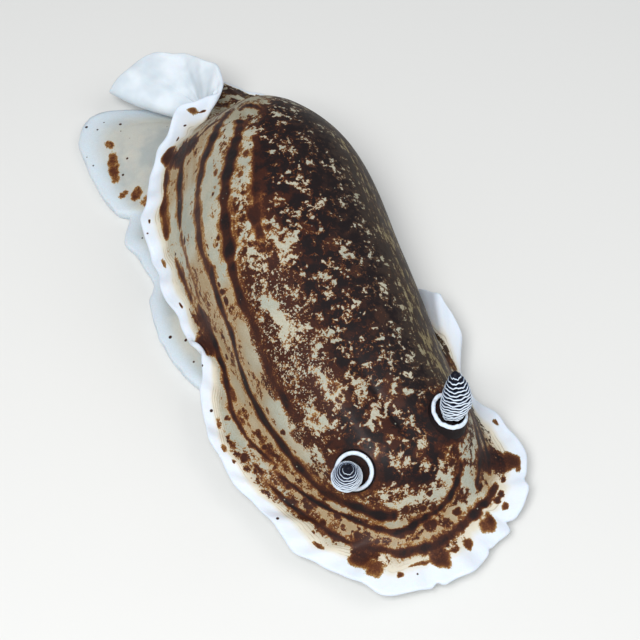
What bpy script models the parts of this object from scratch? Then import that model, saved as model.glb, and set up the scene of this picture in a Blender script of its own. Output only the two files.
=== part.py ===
"""Variable aphelodoris (sea slug), still life-size model, resting on its foot.

Head towards -Y, tail towards +Y, up +Z. Lengths below are millimetres unless a
name says otherwise; every object is built in metres.
"""

import math

import bmesh
import bpy
import numpy as np
from mathutils import Matrix, Vector

MM = 0.001
COLLECTION = "variable_aphelodoris"

# Place of the body in its frame
SHIFT_X = 0.61
SHIFT_Y = -0.5

# Back of the mantle
RING_MIDDLE_Y = -3.4
RING_HALF_LENGTH = 24.6
RING_REAR_LENGTH = 23.4
RING_HALF_WIDTH = 9.2
RING_FRONT_POWER = 3.4
RING_REAR_POWER = 2.6
RING_Z = 6.0
RING_R = 0.72
RIDGE_FRONT_Y = -21.5
RIDGE_REAR_Y = 12.5
RIDGE_SHARE = 0.5
DOME_OUT = 0.9
RIDGE_HEIGHTS = (
    (-24.0, 9.3),
    (-19.0, 10.6),
    (-12.0, 13.0),
    (-4.0, 15.2),
    (4.0, 16.5),
    (9.0, 16.0),
    (13.0, 14.6),
)
CORE_Z = 5.0
GAP = 0.3
EPS = 1.0e-3

# Root ring stations: angle from the head over the right side, rise, opening angle, fall power
RING_STATIONS = (
    (0, -1.6, 48, 1.12),
    (42, -1.4, 56, 1.12),
    (61, -0.2, 72, 1.12),
    (105, 0.6, 76, 1.12),
    (122, 1.3, 57, 0.82),
    (142, 2.6, 42, 0.60),
    (160, 1.8, 44, 0.60),
    (180, 0.9, 50, 0.72),
    (209, 0.8, 62, 1.05),
    (237, 0.3, 80, 1.12),
    (283, -0.2, 82, 1.12),
    (306, -0.6, 66, 1.12),
    (324, -1.4, 52, 1.12),
)

# Mantle edge stations: angle, x, y, z, lift of the edge in degrees
EDGE_STATIONS = (
    (0, 2.2, -33.2, 2.2, -10),
    (19, -4.9, -32.7, 2.2, -10),
    (26, -8.6, -29.0, 2.2, -10),
    (34, -11.4, -24.6, 2.2, -10),
    (40, -12.3, -20.6, 2.4, -8),
    (45, -13.4, -16.9, 2.6, -5),
    (54, -13.7, -12.5, 3.0, 0),
    (66, -12.6, -7.2, 4.0, 5),
    (75, -11.0, -4.2, 4.6, 10),
    (94, -11.4, -0.7, 3.8, 0),
    (109, -11.3, 5.5, 3.6, 5),
    (123, -10.5, 12.0, 4.5, 5),
    (135, -8.3, 16.5, 5.0, 5),
    (147, -4.4, 21.3, 6.0, 15),
    (155, -1.8, 23.4, 7.0, 25),
    (163, 2.5, 23.3, 7.4, 35),
    (170, 3.7, 26.5, 7.2, 35),
    (180, 1.7, 31.3, 6.0, 25),
    (191, -2.7, 33.4, 4.7, 15),
    (198, -6.6, 32.2, 3.2, 10),
    (204, -3.4, 34.4, 2.0, 0),
    (210, 1.9, 33.2, 1.6, -5),
    (216, 7.2, 27.8, 1.5, -10),
    (224, 10.9, 21.2, 1.5, -20),
    (237, 12.4, 14.5, 1.8, -20),
    (251, 12.4, 6.5, 1.8, -10),
    (270, 11.6, 0.5, 1.9, -20),
    (290, 11.1, -3.8, 2.0, -25),
    (296, 11.9, -7.4, 4.6, 10),
    (300, 12.1, -11.5, 3.5, 5),
    (305, 10.65, -14.9, 2.4, -5),
    (310, 10.3, -18.0, 2.6, -5),
    (317, 11.4, -21.5, 2.8, 0),
    (325, 11.2, -26.6, 2.8, 0),
    (334, 8.6, -29.8, 2.2, -10),
)

# Mantle thickness from its root to its edge, and the white rim
ROOT_THICK = 1.5
MID_THICK = 0.80
EDGE_THICK = 0.50
RIM_WIDTH = 1.4
RIM_JOINT = 0.66
FOLDS = (75.0, 153.0, 157.0, 161.0, 165.0, 169.0, 171.0, 200.0, 304.0, 308.0)
FOLD_SPREAD = 7.0

# Foot
SOLE_EDGE_Z = 0.85
FLANGE_TOP_Z = 1.5
FLANK_Q = 0.62
CORE_R = 0.5
FLANGE_R = 0.78
FLANGE_PULL = 0.24

# Foot edge stations: angle, x, y
FOOT_STATIONS = (
    (0, 0.8, -27.0),
    (29, -5.0, -25.2),
    (45, -7.5, -19.0),
    (57, -8.6, -12.0),
    (66, -11.4, -6.2),
    (78, -12.7, -2.6),
    (97, -13.1, 2.0),
    (108, -12.4, 6.0),
    (115, -11.2, 8.2),
    (121, -11.3, 10.2),
    (128, -11.5, 12.6),
    (133, -11.9, 14.4),
    (138, -10.4, 16.9),
    (144, -11.3, 18.2),
    (151, -11.9, 21.2),
    (165, -11.6, 28.4),
    (176, -9.4, 31.4),
    (192, -5.6, 31.0),
    (205, 0.0, 27.6),
    (217, 5.0, 22.0),
    (233, 8.6, 14.0),
    (255, 9.6, 4.0),
    (295, 9.2, -7.0),
    (315, 8.2, -18.0),
    (331, 5.4, -25.2),
)


def smooth(t):
    t = np.clip(t, 0.0, 1.0)
    return t * t * (3.0 - 2.0 * t)


def signed_power(value, power):
    return np.sign(value) * np.abs(value) ** power


def around(phi, stations):
    """Closed smooth curve through stations given by angle."""
    table = np.array(stations, float)
    keys = np.radians(table[:, 0])
    values = table[:, 1:]
    turn = 2.0 * math.pi
    phi = np.mod(phi, turn)
    keys = np.concatenate([keys[-2:] - turn, keys, keys[:3] + turn])
    values = np.concatenate([values[-2:], values, values[:3]])
    low = np.clip(np.searchsorted(keys, phi, side="right") - 1, 1, len(keys) - 3)
    step = (keys[low + 1] - keys[low])[..., None]
    slope_0 = (values[low + 1] - values[low - 1]) / (keys[low + 1] - keys[low - 1])[..., None] * step
    slope_1 = (values[low + 2] - values[low]) / (keys[low + 2] - keys[low])[..., None] * step
    t = (phi - keys[low])[..., None] / step
    t2 = t * t
    t3 = t2 * t
    start = (2.0 * t3 - 3.0 * t2 + 1.0) * values[low] + (t3 - 2.0 * t2 + t) * slope_0
    return start + (3.0 * t2 - 2.0 * t3) * values[low + 1] + (t3 - t2) * slope_1


def middle_x(y):
    """The body's own middle line, bent towards the left at both ends."""
    return -0.9 + 2.5 * smooth((y + 4.0) / 20.0) + 1.9 * smooth((-13.0 - y) / 16.0)


def ring(phi):
    """Line where the back turns into the free mantle skirt."""
    c = np.cos(phi)
    s = np.sin(phi)
    reach = np.where(c < 0.0, RING_REAR_LENGTH, RING_HALF_LENGTH)
    power = np.where(c < 0.0, RING_REAR_POWER, RING_FRONT_POWER)
    size = (np.abs(c) ** power + np.abs(s) ** power) ** (1.0 / power)
    y = RING_MIDDLE_Y - reach * c / size
    left = 0.99 + 0.26 * np.exp(-(((y - 5.0) / 18.0) ** 2))
    right = 0.91 + 0.12 * np.exp(-(((y - 7.0) / 8.0) ** 2))
    width = RING_HALF_WIDTH * (1.0 - 0.05 * (y / 25.0) ** 2) * np.where(s < 0.0, left, right)
    x = middle_x(y) - width * s / size
    z = RING_Z + around(phi, RING_STATIONS)[..., 0]
    return np.stack([x, y, z], -1)


def ridge(phi):
    """Top line of the back, from the head end at 0 to the tail end at 180 degrees."""
    y = RIDGE_FRONT_Y + (RIDGE_REAR_Y - RIDGE_FRONT_Y) * (1.0 - np.cos(phi)) / 2.0
    table = np.array(RIDGE_HEIGHTS)
    z = np.interp(y, table[:, 0], table[:, 1])
    return np.stack([middle_x(y), y, z], -1)


def unit(v):
    return v / np.maximum(np.linalg.norm(v, axis=-1, keepdims=True), 1.0e-9)


def top(phi, r):
    """Upper face of the mantle: r runs from the ridge (0) to the free edge (1)."""
    phi, r = np.broadcast_arrays(np.asarray(phi, float), np.asarray(r, float))
    root = ring(phi)
    crest = ridge(phi)
    edge = around(phi, EDGE_STATIONS)
    lift = np.radians(edge[..., 3])
    edge = edge[..., :3]
    stations = around(phi, RING_STATIONS)
    opening = np.radians(stations[..., 1])
    power = stations[..., 2]
    angle = np.clip(r / RING_R, 0.0, 1.0) * opening
    out = (np.sin(angle) / np.sin(opening)) ** DOME_OUT
    down = ((1.0 - np.cos(angle)) / (1.0 - np.cos(opening))) ** power
    back = crest + (root - crest) * out[..., None]
    back[..., 2] = crest[..., 2] + (root[..., 2] - crest[..., 2]) * down
    v = np.clip((r - RING_R) / (1.0 - RING_R), 0.0, 1.0)[..., None]
    side = root - crest
    drop = -side[..., 2].copy()
    side[..., 2] = 0.0
    reach = np.linalg.norm(side, axis=-1)
    fall = power * np.sin(opening) / (1.0 - np.cos(opening)) * drop
    run = DOME_OUT * np.cos(opening) / np.sin(opening) * reach
    start = unit(side) * (run / np.hypot(run, fall))[..., None]
    start[..., 2] = -fall / np.hypot(run, fall)
    span = edge - root
    length = 0.9 * np.linalg.norm(span, axis=-1, keepdims=True)
    span[..., 2] = 0.0
    end = unit(span) * np.cos(lift)[..., None]
    end[..., 2] = np.sin(lift)
    v2 = v * v
    v3 = v2 * v
    skirt = (2.0 * v3 - 3.0 * v2 + 1.0) * root + (v3 - 2.0 * v2 + v) * length * start
    skirt = skirt + (3.0 * v2 - 2.0 * v3) * edge + (v3 - v2) * length * end
    return np.where((r > RING_R)[..., None], skirt, back)


def normal(phi, r):
    """Unit normal of the upper face, pointing out of the body."""
    r = np.clip(r, EPS, 1.0 - EPS)
    along_r = top(phi, r + EPS) - top(phi, r - EPS)
    along_phi = top(phi + EPS, r) - top(phi - EPS, r)
    return unit(np.cross(along_phi, along_r))


def under(phi, r):
    """Lower face of the mantle; inside the ring it is the flat bed over the foot."""
    phi, r = np.broadcast_arrays(np.asarray(phi, float), np.asarray(r, float))
    outer = np.maximum(r, RING_R)
    v = (outer - RING_R) / (1.0 - RING_R)
    thick = np.where(v < 0.5, ROOT_THICK + (MID_THICK - ROOT_THICK) * v * 2.0, MID_THICK)
    thick = thick - (MID_THICK - EDGE_THICK) * smooth((v - 0.8) / 0.2)
    skin = top(phi, outer) - normal(phi, outer) * thick[..., None]
    bed = ridge(phi)
    bed[..., 2] = CORE_Z
    q = np.clip(r / RING_R, 0.0, 1.0)[..., None]
    return bed + (skin - bed) * q


def foot_top(phi, r):
    """Upper face of the foot: core, flank and thin flange."""
    phi, r = np.broadcast_arrays(np.asarray(phi, float), np.asarray(r, float))
    core = under(phi, RING_R * FLANK_Q * np.clip(r / CORE_R, 0.0, 1.0))
    core[..., 2] -= GAP + 0.3
    edge = around(phi, FOOT_STATIONS)
    edge = np.concatenate([edge, np.full(edge.shape[:-1] + (1,), SOLE_EDGE_Z)], -1)
    flange = edge + (core - edge) * FLANGE_PULL
    flange[..., 2] = FLANGE_TOP_Z
    t = smooth((r - CORE_R) / (FLANGE_R - CORE_R))[..., None]
    u = np.clip((r - FLANGE_R) / (1.0 - FLANGE_R), 0.0, 1.0)[..., None]
    body = core + (flange - core) * t
    return np.where((r > FLANGE_R)[..., None], flange + (edge - flange) * u, body)


def sole(phi, r):
    flat = foot_top(phi, r)
    flat[..., 2] = 0.0
    return flat


def from_square(a, b):
    """Angle and r of a point of the unit square laid over the body plan."""
    across = a * np.sqrt(1.0 - b * b / 2.0)
    along = b * np.sqrt(1.0 - a * a / 2.0)
    k2 = RIDGE_SHARE * RIDGE_SHARE
    m = 1.0 - k2
    half = (k2 - m * across**2 - along**2) / 2.0
    rho = (-half + np.sqrt(half**2 + m * k2 * across**2)) / m
    r = np.sqrt(np.clip(rho, 0.0, 1.0))
    cosine = np.clip(-along / np.sqrt(k2 + m * r**2), -1.0, 1.0)
    sine = np.where(across > 0.0, -1.0, 1.0) * np.sqrt(1.0 - cosine**2)
    return np.mod(np.arctan2(sine, cosine), 2.0 * math.pi), r


def rim_start(phi):
    """r at which the white rim begins, a fixed width in from the edge."""
    span = np.linalg.norm(top(phi, 1.0) - top(phi, 0.9), axis=-1) / 0.1
    return 1.0 - np.minimum(RIM_WIDTH / span, 0.14)


def rim_gap(phi):
    """r step that makes the joint between rim and mantle."""
    span = np.linalg.norm(top(phi, 0.92) - top(phi, 0.82), axis=-1) / 0.1
    wider = sum(np.exp(-((np.degrees(phi) - fold) / FOLD_SPREAD) ** 2) for fold in FOLDS)
    return np.minimum(RIM_JOINT * (1.0 + 2.0 * wider) / span, 0.19)


def material(name, colour, roughness):
    mat = bpy.data.materials.new(name)
    mat.use_nodes = True
    shader = mat.node_tree.nodes["Principled BSDF"]
    shader.inputs["Base Color"].default_value = (*colour, 1.0)
    shader.inputs["Roughness"].default_value = roughness
    return mat


def finish(name, bm, mat, smooth_faces=True):
    """Turn a closed mesh, in millimetres, into an object in metres."""
    bmesh.ops.triangulate(bm, faces=bm.faces)
    bmesh.ops.recalc_face_normals(bm, faces=bm.faces)
    if bm.calc_volume(signed=True) < 0.0:
        bmesh.ops.reverse_faces(bm, faces=bm.faces)
    for vert in bm.verts:
        vert.co = (vert.co + Vector((SHIFT_X, SHIFT_Y, 0.0))) * MM
    mesh = bpy.data.meshes.new(name)
    bm.to_mesh(mesh)
    bm.free()
    mesh.materials.append(mat)
    for face in mesh.polygons:
        face.use_smooth = smooth_faces
    obj = bpy.data.objects.new(name, mesh)
    bpy.data.collections[COLLECTION].objects.link(obj)
    return obj


def slab(columns, rows, upper, lower):
    """Closed slab between two faces, each given over the square -1 to 1."""
    bm = bmesh.new()
    bmesh.ops.create_grid(bm, x_segments=columns, y_segments=rows, size=1.0)
    first = list(bm.verts)
    made = bmesh.ops.extrude_face_region(bm, geom=list(bm.faces))["geom"]
    second = [item for item in made if isinstance(item, bmesh.types.BMVert)]
    for verts, face in ((first, upper), (second, lower)):
        flat = np.array([(v.co.x, v.co.y) for v in verts])
        placed = face(flat[:, 0], flat[:, 1])
        for vert, co in zip(verts, placed):
            vert.co = Vector(co)
    return bm


def plan_slab(columns, rows, upper, lower, limit):
    """Closed slab over the whole body plan, out to the given r."""

    def laid(face):
        def at(a, b):
            phi, r = from_square(a, b)
            return face(phi, r * limit(phi))

        return at

    return slab(columns, rows, laid(upper), laid(lower))


def between(bm, front, rear):
    """Copy of a closed body cut flat across at two distances along it."""
    part = bm.copy()
    for y, way in ((front, -1.0), (rear, 1.0)):
        if y is None:
            continue
        everything = list(part.verts) + list(part.edges) + list(part.faces)
        made = bmesh.ops.bisect_plane(
            part, geom=everything, plane_co=(0.0, y, 0.0), plane_no=(0.0, way, 0.0), clear_outer=True
        )
        rim = [item for item in made["geom_cut"] if isinstance(item, bmesh.types.BMEdge)]
        bmesh.ops.holes_fill(part, edges=rim, sides=0)
    return part


def rim_slab(name, columns, start, stop, mat):
    """Piece of the white rim between two angles in degrees."""
    start = math.radians(start)
    stop = math.radians(stop)
    ends = np.array([start, stop])
    pace = np.linalg.norm(top(ends + EPS, 0.97) - top(ends - EPS, 0.97), axis=-1) / (2.0 * EPS)
    start = start + 0.5 * RIM_JOINT / pace[0]
    stop = stop - 0.5 * RIM_JOINT / pace[1]

    def laid(face):
        def at(a, b):
            phi = start + (stop - start) * (a + 1.0) / 2.0
            inner = rim_start(phi)
            return face(phi, inner + (1.0 - inner) * (b + 1.0) / 2.0)

        return at

    return finish(name, slab(columns, 2, laid(top), laid(under)), mat)


def frame_at(phi_deg, r, lean):
    """Foot point on the mantle and a turn whose Z is the lean direction."""
    phi = np.array(math.radians(phi_deg))
    place = Vector(top(phi, np.array(r)))
    z_axis = Vector(lean).normalized()
    x_axis = Vector((0.0, -1.0, 0.0)).cross(z_axis).normalized()
    y_axis = z_axis.cross(x_axis)
    turn = Matrix((x_axis, y_axis, z_axis)).transposed()
    return Matrix.Translation(place) @ turn.to_4x4()


def seat(points, root, lean):
    """How far along the lean each point lies from its seat just over the mantle."""
    axis = np.array(Vector(lean).normalized())
    phi = np.full(len(points), math.radians(root[0]))
    r = np.full(len(points), root[1])
    slide = np.zeros(len(points))
    for _ in range(SEAT_STEPS):
        along_phi = (top(phi + EPS, r) - top(phi - EPS, r)) / (2.0 * EPS)
        along_r = (top(phi, r + EPS) - top(phi, r - EPS)) / (2.0 * EPS)
        miss = points + slide[:, None] * axis - top(phi, r) - normal(phi, r) * SEAT_GAP
        matrix = np.stack([along_phi, along_r, np.broadcast_to(-axis, along_r.shape)], -1)
        step = np.linalg.solve(matrix, miss[..., None])[..., 0]
        phi = phi + step[:, 0]
        r = r + step[:, 1]
        slide = slide + step[:, 2]
    return slide


def seated(place, flat, root, lean):
    """Heights of the seat under points given across the lean."""
    return seat(np.array([place @ Vector((x, y, 0.0)) for x, y in flat]), root, lean)


def turned(profile, sides):
    """Closed turned body from a profile of radius and height, pole to pole."""
    bm = bmesh.new()
    rings = []
    for radius, height in profile:
        if radius == 0.0:
            rings.append([bm.verts.new((0.0, 0.0, height))])
            continue
        loop = []
        for i in range(sides):
            angle = 2.0 * math.pi * i / sides
            loop.append(bm.verts.new((radius * math.cos(angle), radius * math.sin(angle), height)))
        rings.append(loop)
    for low, high in zip(rings, rings[1:]):
        for i in range(sides):
            j = (i + 1) % sides
            if len(low) == 1:
                bm.faces.new((low[0], high[i], high[j]))
            elif len(high) == 1:
                bm.faces.new((low[i], low[j], high[0]))
            else:
                bm.faces.new((low[i], low[j], high[j], high[i]))
    bmesh.ops.recalc_face_normals(bm, faces=bm.faces)
    return bm


# Rhinophores and their sheaths
SEAT_GAP = 0.42
SEAT_STEPS = 8
RIGHT_ROOT = (41.8, 0.53)
LEFT_ROOT = (320.2, 0.406)
RIGHT_CLUB_ROOT = (43.1, 0.573)
LEFT_CLUB_ROOT = (319.9, 0.434)
RIGHT_LEAN = (-0.19, -0.37, 0.91)
LEFT_LEAN = (0.06, 0.06, 1.0)
RIGHT_SHEATH_LEAN = (-0.34, -0.43, 0.84)
LEFT_SHEATH_LEAN = (0.22, -0.02, 0.97)
SHEATH_OUT = 1.72
SHEATH_IN = 1.30
SHEATH_FLARE = 0.25
SHEATH_HIGH = 0.9
SHEATH_LEAST = 0.55
SHEATH_SIDES = 20
STALK_RADIUS = 0.50
CLUB_LOW = 1.5
CLUB_HIGH = 6.3
CLUB_RADIUS = 1.36
CLUB_FOOT_SHARE = 0.5
CLUB_WIDEST = 0.32
LAMELLAE = 11
LAMELLA_DEPTH = 0.20
LAMELLA_SLANT = 0.42
CLUB_SIDES = 18


def club_radius(t):
    """Radius of the club from its lower end (0) to its blunt tip (1)."""
    swell = CLUB_FOOT_SHARE + (1.0 - CLUB_FOOT_SHARE) * smooth(t / CLUB_WIDEST)
    fade = np.clip((t - CLUB_WIDEST) / (1.0 - CLUB_WIDEST), 0.0, 1.0)
    return CLUB_RADIUS * float(swell * (1.0 - fade**2) ** 0.6)


def rhinophore(name, root, lean, mat):
    """Stalk and club with slanting leaves all round."""
    profile = [(0.0, 0.0), (STALK_RADIUS * 0.92, 0.0), (STALK_RADIUS, CLUB_LOW - 0.1)]
    pitch = (CLUB_HIGH - CLUB_LOW) / (LAMELLAE + 0.5)
    for i in range(LAMELLAE):
        z = CLUB_LOW + pitch * i
        crest = club_radius((i + 0.5) / (LAMELLAE + 0.5))
        profile.append((crest - LAMELLA_DEPTH * crest / CLUB_RADIUS, z + 0.06 * pitch))
        profile.append((crest, z + 0.38 * pitch))
        profile.append((crest, z + 0.68 * pitch))
    profile.append((0.0, CLUB_HIGH))
    bm = turned(profile, CLUB_SIDES)
    for vert in bm.verts:
        share = smooth((vert.co.z - CLUB_LOW) / 0.8)
        share = share * (1.0 - smooth((vert.co.z - CLUB_HIGH + 1.0) / 1.0))
        vert.co.z += LAMELLA_SLANT * vert.co.y * float(share)
    place = frame_at(*root, lean)
    low = [vert for vert in bm.verts if vert.co.z < EPS]
    for vert, height in zip(low, seated(place, [vert.co.xy for vert in low], root, lean)):
        vert.co.z = height
    bm.transform(place)
    return finish(name, bm, mat)


def collar(name, profile, sides, high, least, root, lean, mat):
    """Ring standing on the mantle, from a profile of radius and share of its height."""
    place = frame_at(*root, lean)
    bm = bmesh.new()
    loops = []
    for radius, share in profile:
        angles = [2.0 * math.pi * i / sides for i in range(sides)]
        flat = [(radius * math.cos(angle), radius * math.sin(angle)) for angle in angles]
        lows = seated(place, flat, root, lean)
        loop = []
        for (x, y), low in zip(flat, lows):
            rise = max(high - low, least)
            loop.append(bm.verts.new((x, y, low + rise * share)))
        loops.append(loop)
    for low, high in zip(loops, loops[1:] + loops[:1]):
        for i in range(sides):
            j = (i + 1) % sides
            bm.faces.new((low[i], low[j], high[j], high[i]))
    bm.transform(place)
    return finish(name, bm, mat)


def sheath(name, root, lean, mat):
    """Raised collar round the foot of a rhinophore."""
    wall = SHEATH_OUT - SHEATH_IN
    profile = (
        (SHEATH_OUT + SHEATH_FLARE, 0.0),
        (SHEATH_OUT - 0.05, 0.35),
        (SHEATH_OUT, 0.85),
        (SHEATH_OUT - 0.3 * wall, 1.0),
        (SHEATH_IN + 0.2 * wall, 0.96),
        (SHEATH_IN, 0.8),
        (SHEATH_IN, 0.0),
    )
    return collar(name, profile, SHEATH_SIDES, SHEATH_HIGH, SHEATH_LEAST, root, lean, mat)


# Gills, drawn in low on the rear slope behind the top of the back
GILL_ROOT = (197.0, 0.69)
GILL_LEAN = (0.24, 0.92, 0.30)
GILL_RIM_OUT = 2.2
GILL_RIM_IN = 1.75
GILL_RIM_RISE = 0.55
GILL_RIM_SIDES = 24
GILL_LEAVES = 7
GILL_BASE_RADIUS = 1.05
GILL_SIDES = 6
GILL_BRANCHES = 3


def gill_rim(name, mat):
    """Low wall round the gill pocket."""
    profile = (
        (GILL_RIM_OUT + 0.3, 0.0),
        (GILL_RIM_OUT, 0.75),
        ((GILL_RIM_OUT + GILL_RIM_IN) / 2.0, 1.0),
        (GILL_RIM_IN, 0.7),
        (GILL_RIM_IN, 0.0),
    )
    return collar(name, profile, GILL_RIM_SIDES, 0.0, GILL_RIM_RISE, GILL_ROOT, GILL_LEAN, mat)


def tube(points, radii, sides):
    """Closed tapering tube along a bent line, one point at its tip."""
    bm = bmesh.new()
    loops = []
    for index, (point, radius) in enumerate(zip(points, radii)):
        before = points[max(index - 1, 0)]
        after = points[min(index + 1, len(points) - 1)]
        ahead = (after - before).normalized()
        side = ahead.cross(Vector((0.37, 0.21, 0.91))).normalized()
        other = ahead.cross(side)
        loop = []
        for i in range(sides):
            angle = 2.0 * math.pi * i / sides
            reach = (side * math.cos(angle) + other * math.sin(angle)) * radius
            loop.append(bm.verts.new(point + reach))
        loops.append(loop)
    for low, high in zip(loops, loops[1:]):
        for i in range(sides):
            j = (i + 1) % sides
            bm.faces.new((low[i], low[j], high[j], high[i]))
    bm.faces.new(list(reversed(loops[0])))
    bm.faces.new(loops[-1])
    bmesh.ops.recalc_face_normals(bm, faces=bm.faces)
    return bm


def as_object(name, bm):
    mesh = bpy.data.meshes.new(name)
    bm.to_mesh(mesh)
    bm.free()
    obj = bpy.data.objects.new(name, mesh)
    bpy.data.collections["cutters"].objects.link(obj)
    obj.hide_render = True
    obj.display_type = "WIRE"
    return obj


def fused(base, others):
    """One body out of several that run into each other."""
    group = bpy.data.collections.new("joined_pieces")
    bpy.data.collections["cutters"].children.link(group)
    for other in others:
        group.objects.link(other)
    mod = base.modifiers.new("join", "BOOLEAN")
    mod.operation = "UNION"
    mod.solver = "MANIFOLD"
    mod.operand_type = "COLLECTION"
    mod.collection = group
    view = bpy.context.evaluated_depsgraph_get()
    mesh = bpy.data.meshes.new_from_object(base.evaluated_get(view))
    bm = bmesh.new()
    bm.from_mesh(mesh)
    for obj in [base, *others]:
        bpy.data.objects.remove(obj, do_unlink=True)
    bpy.data.collections.remove(group)
    return bm


def keep_largest(bm):
    """Leave only the largest closed surface."""
    left = set(bm.verts)
    groups = []
    while left:
        start = left.pop()
        group = {start}
        stack = [start]
        while stack:
            vert = stack.pop()
            for edge in vert.link_edges:
                other = edge.other_vert(vert)
                if other not in group:
                    group.add(other)
                    stack.append(other)
        left -= group
        groups.append(group)
    groups.sort(key=len)
    spare = [vert for group in groups[:-1] for vert in group]
    bmesh.ops.delete(bm, geom=spare, context="VERTS")


def gill_plume(name, mat):
    """Ring of branching gill leaves round a low papilla, as one body."""
    base_bm = turned(
        ((0.0, 0.0), (GILL_BASE_RADIUS, 0.0), (GILL_BASE_RADIUS, 0.8), (0.5, 1.0), (0.4, 1.45), (0.0, 1.5)),
        16,
    )
    place = frame_at(*GILL_ROOT, GILL_LEAN)
    low = [vert for vert in base_bm.verts if vert.co.z < EPS]
    for vert, height in zip(low, seated(place, [vert.co.xy for vert in low], GILL_ROOT, GILL_LEAN)):
        vert.co.z = height
    pieces = []
    up = Vector((0.0, 0.0, 1.0))
    for leaf in range(GILL_LEAVES):
        angle = 2.0 * math.pi * (leaf + 0.5) / GILL_LEAVES
        out = Vector((math.cos(angle), math.sin(angle), 0.0))
        aside = Vector((-math.sin(angle), math.cos(angle), 0.0))

        def along(t):
            return out * (0.7 + 0.75 * t - 0.15 * t * t) + up * (0.65 + 1.0 * t - 0.15 * t * t)

        line = [along(i / 4.0) for i in range(5)]
        pieces.append(as_object("leaf", tube(line, (0.27, 0.27, 0.26, 0.25, 0.2), GILL_SIDES)))
        for branch in range(GILL_BRANCHES):
            t = 0.3 + 0.6 * branch / (GILL_BRANCHES - 1)
            here = along(t)
            reach = 0.42 * (1.0 - 0.4 * t)
            for way in (-1.0, 1.0):
                tip = here + aside * way * reach + out * 0.15 + up * 0.16
                pieces.append(as_object("branch", tube([here, tip], (0.15, 0.1), 5)))
    base = as_object("gill_base", base_bm)
    bm = fused(base, pieces)
    keep_largest(bm)
    bm.transform(place)
    return finish(name, bm, mat)


# Head under the front of the mantle
HEAD_MIDDLE = (0.9, -29.1, 1.05)
HEAD_HALF = (2.6, 1.4, 0.72)
MOUTH_DEPTH = 0.35
TENTACLE_LENGTH = 2.3
TENTACLE_RADIUS = 0.48


def head(name, mat):
    bm = bmesh.new()
    bmesh.ops.create_uvsphere(bm, u_segments=24, v_segments=12, radius=1.0)
    for vert in bm.verts:
        co = vert.co.copy()
        fold = MOUTH_DEPTH * math.exp(-((co.z + 0.1) / 0.22) ** 2)
        fold = fold * smooth(-co.y) * smooth(1.4 - 1.6 * abs(co.x))
        flat = signed_power(np.array(co.z), 0.8)
        vert.co.x = HEAD_MIDDLE[0] + HEAD_HALF[0] * co.x
        vert.co.y = HEAD_MIDDLE[1] + HEAD_HALF[1] * co.y + float(fold)
        vert.co.z = HEAD_MIDDLE[2] + HEAD_HALF[2] * float(flat)
    return finish(name, bm, mat)


def oral_tentacle(name, side, mat):
    start = Vector((HEAD_MIDDLE[0] + side * (HEAD_HALF[0] + GAP + 0.1), HEAD_MIDDLE[1] - 0.1, 1.0))
    points = []
    radii = []
    for i in range(6):
        t = i / 5.0
        points.append(start + Vector((side * 1.9 * t, -TENTACLE_LENGTH * 0.55 * t * t, -0.25 * t)))
        radii.append(TENTACLE_RADIUS * (0.85 + 0.3 * math.sin(2.4 * t)) * (1.0 - 0.55 * t**3))
    return finish(name, tube(points, radii, 10), mat)


def build():
    for obj in list(bpy.data.objects):
        bpy.data.objects.remove(obj, do_unlink=True)
    for label in (COLLECTION, "cutters"):
        bpy.context.scene.collection.children.link(bpy.data.collections.new(label))
    bpy.data.collections["cutters"].hide_render = True

    white = (0.82, 0.84, 0.86)
    brown = (0.16, 0.07, 0.03)
    pale = (0.66, 0.64, 0.55)

    def inner(phi):
        return rim_start(phi) - rim_gap(phi)

    def whole(phi):
        return np.ones_like(phi)

    mantle = plan_slab(22, 56, top, under, inner)
    cuts = (
        ("mantle_head", None, -16.0),
        ("mantle_back", -16.0 + GAP, 8.0),
        ("mantle_tail", 8.0 + GAP, None),
    )
    for name, front, rear in cuts:
        finish(name, between(mantle, front, rear), material(name, brown, 0.35))

    rims = (
        ("mantle_rim_front", 18, -41.0, 40.0),
        ("mantle_rim_right_front", 12, 40.0, 61.0),
        ("mantle_rim_right_rear", 26, 61.0, 147.0),
        ("mantle_rim_tail", 22, 147.0, 216.0),
        ("mantle_rim_left_rear", 16, 216.0, 258.0),
        ("mantle_rim_left_front", 24, 258.0, 319.0),
    )
    for name, columns, start, stop in rims:
        rim_slab(name, columns, start, stop, material(name, white, 0.35))

    flesh = (0.70, 0.69, 0.64)
    foot = plan_slab(16, 32, foot_top, sole, whole)
    cuts = (("foot_front", None, -10.0), ("foot_middle", -10.0 + GAP, 11.0), ("tail", 11.0 + GAP, None))
    for name, front, rear in cuts:
        finish(name, between(foot, front, rear), material(name, flesh, 0.4))

    head("head", material("head", pale, 0.4))
    oral_tentacle("oral_tentacle_right", -1.0, material("oral_tentacle_right", pale, 0.4))
    oral_tentacle("oral_tentacle_left", 1.0, material("oral_tentacle_left", pale, 0.4))

    collars = (
        ("rhinophore_sheath_right", RIGHT_ROOT, RIGHT_SHEATH_LEAN),
        ("rhinophore_sheath_left", LEFT_ROOT, LEFT_SHEATH_LEAN),
    )
    for name, root, lean in collars:
        sheath(name, root, lean, material(name, white, 0.35))
    blue_black = (0.10, 0.11, 0.16)
    clubs = (
        ("rhinophore_right", RIGHT_CLUB_ROOT, RIGHT_LEAN),
        ("rhinophore_left", LEFT_CLUB_ROOT, LEFT_LEAN),
    )
    for name, root, lean in clubs:
        rhinophore(name, root, lean, material(name, blue_black, 0.35))

    gill_rim("gill_pocket_rim", material("gill_pocket_rim", brown, 0.35))
    gill_plume("gill_plume", material("gill_plume", (0.62, 0.60, 0.58), 0.4))


build()
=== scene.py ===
"""Looks of the variable aphelodoris: skin, pattern, gills, rhinophores, light and camera.

Head towards -Y, tail towards +Y, up +Z. Body lengths are millimetres unless a name
says otherwise. Each mesh is placed in metres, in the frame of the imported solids.
"""

import math

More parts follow.
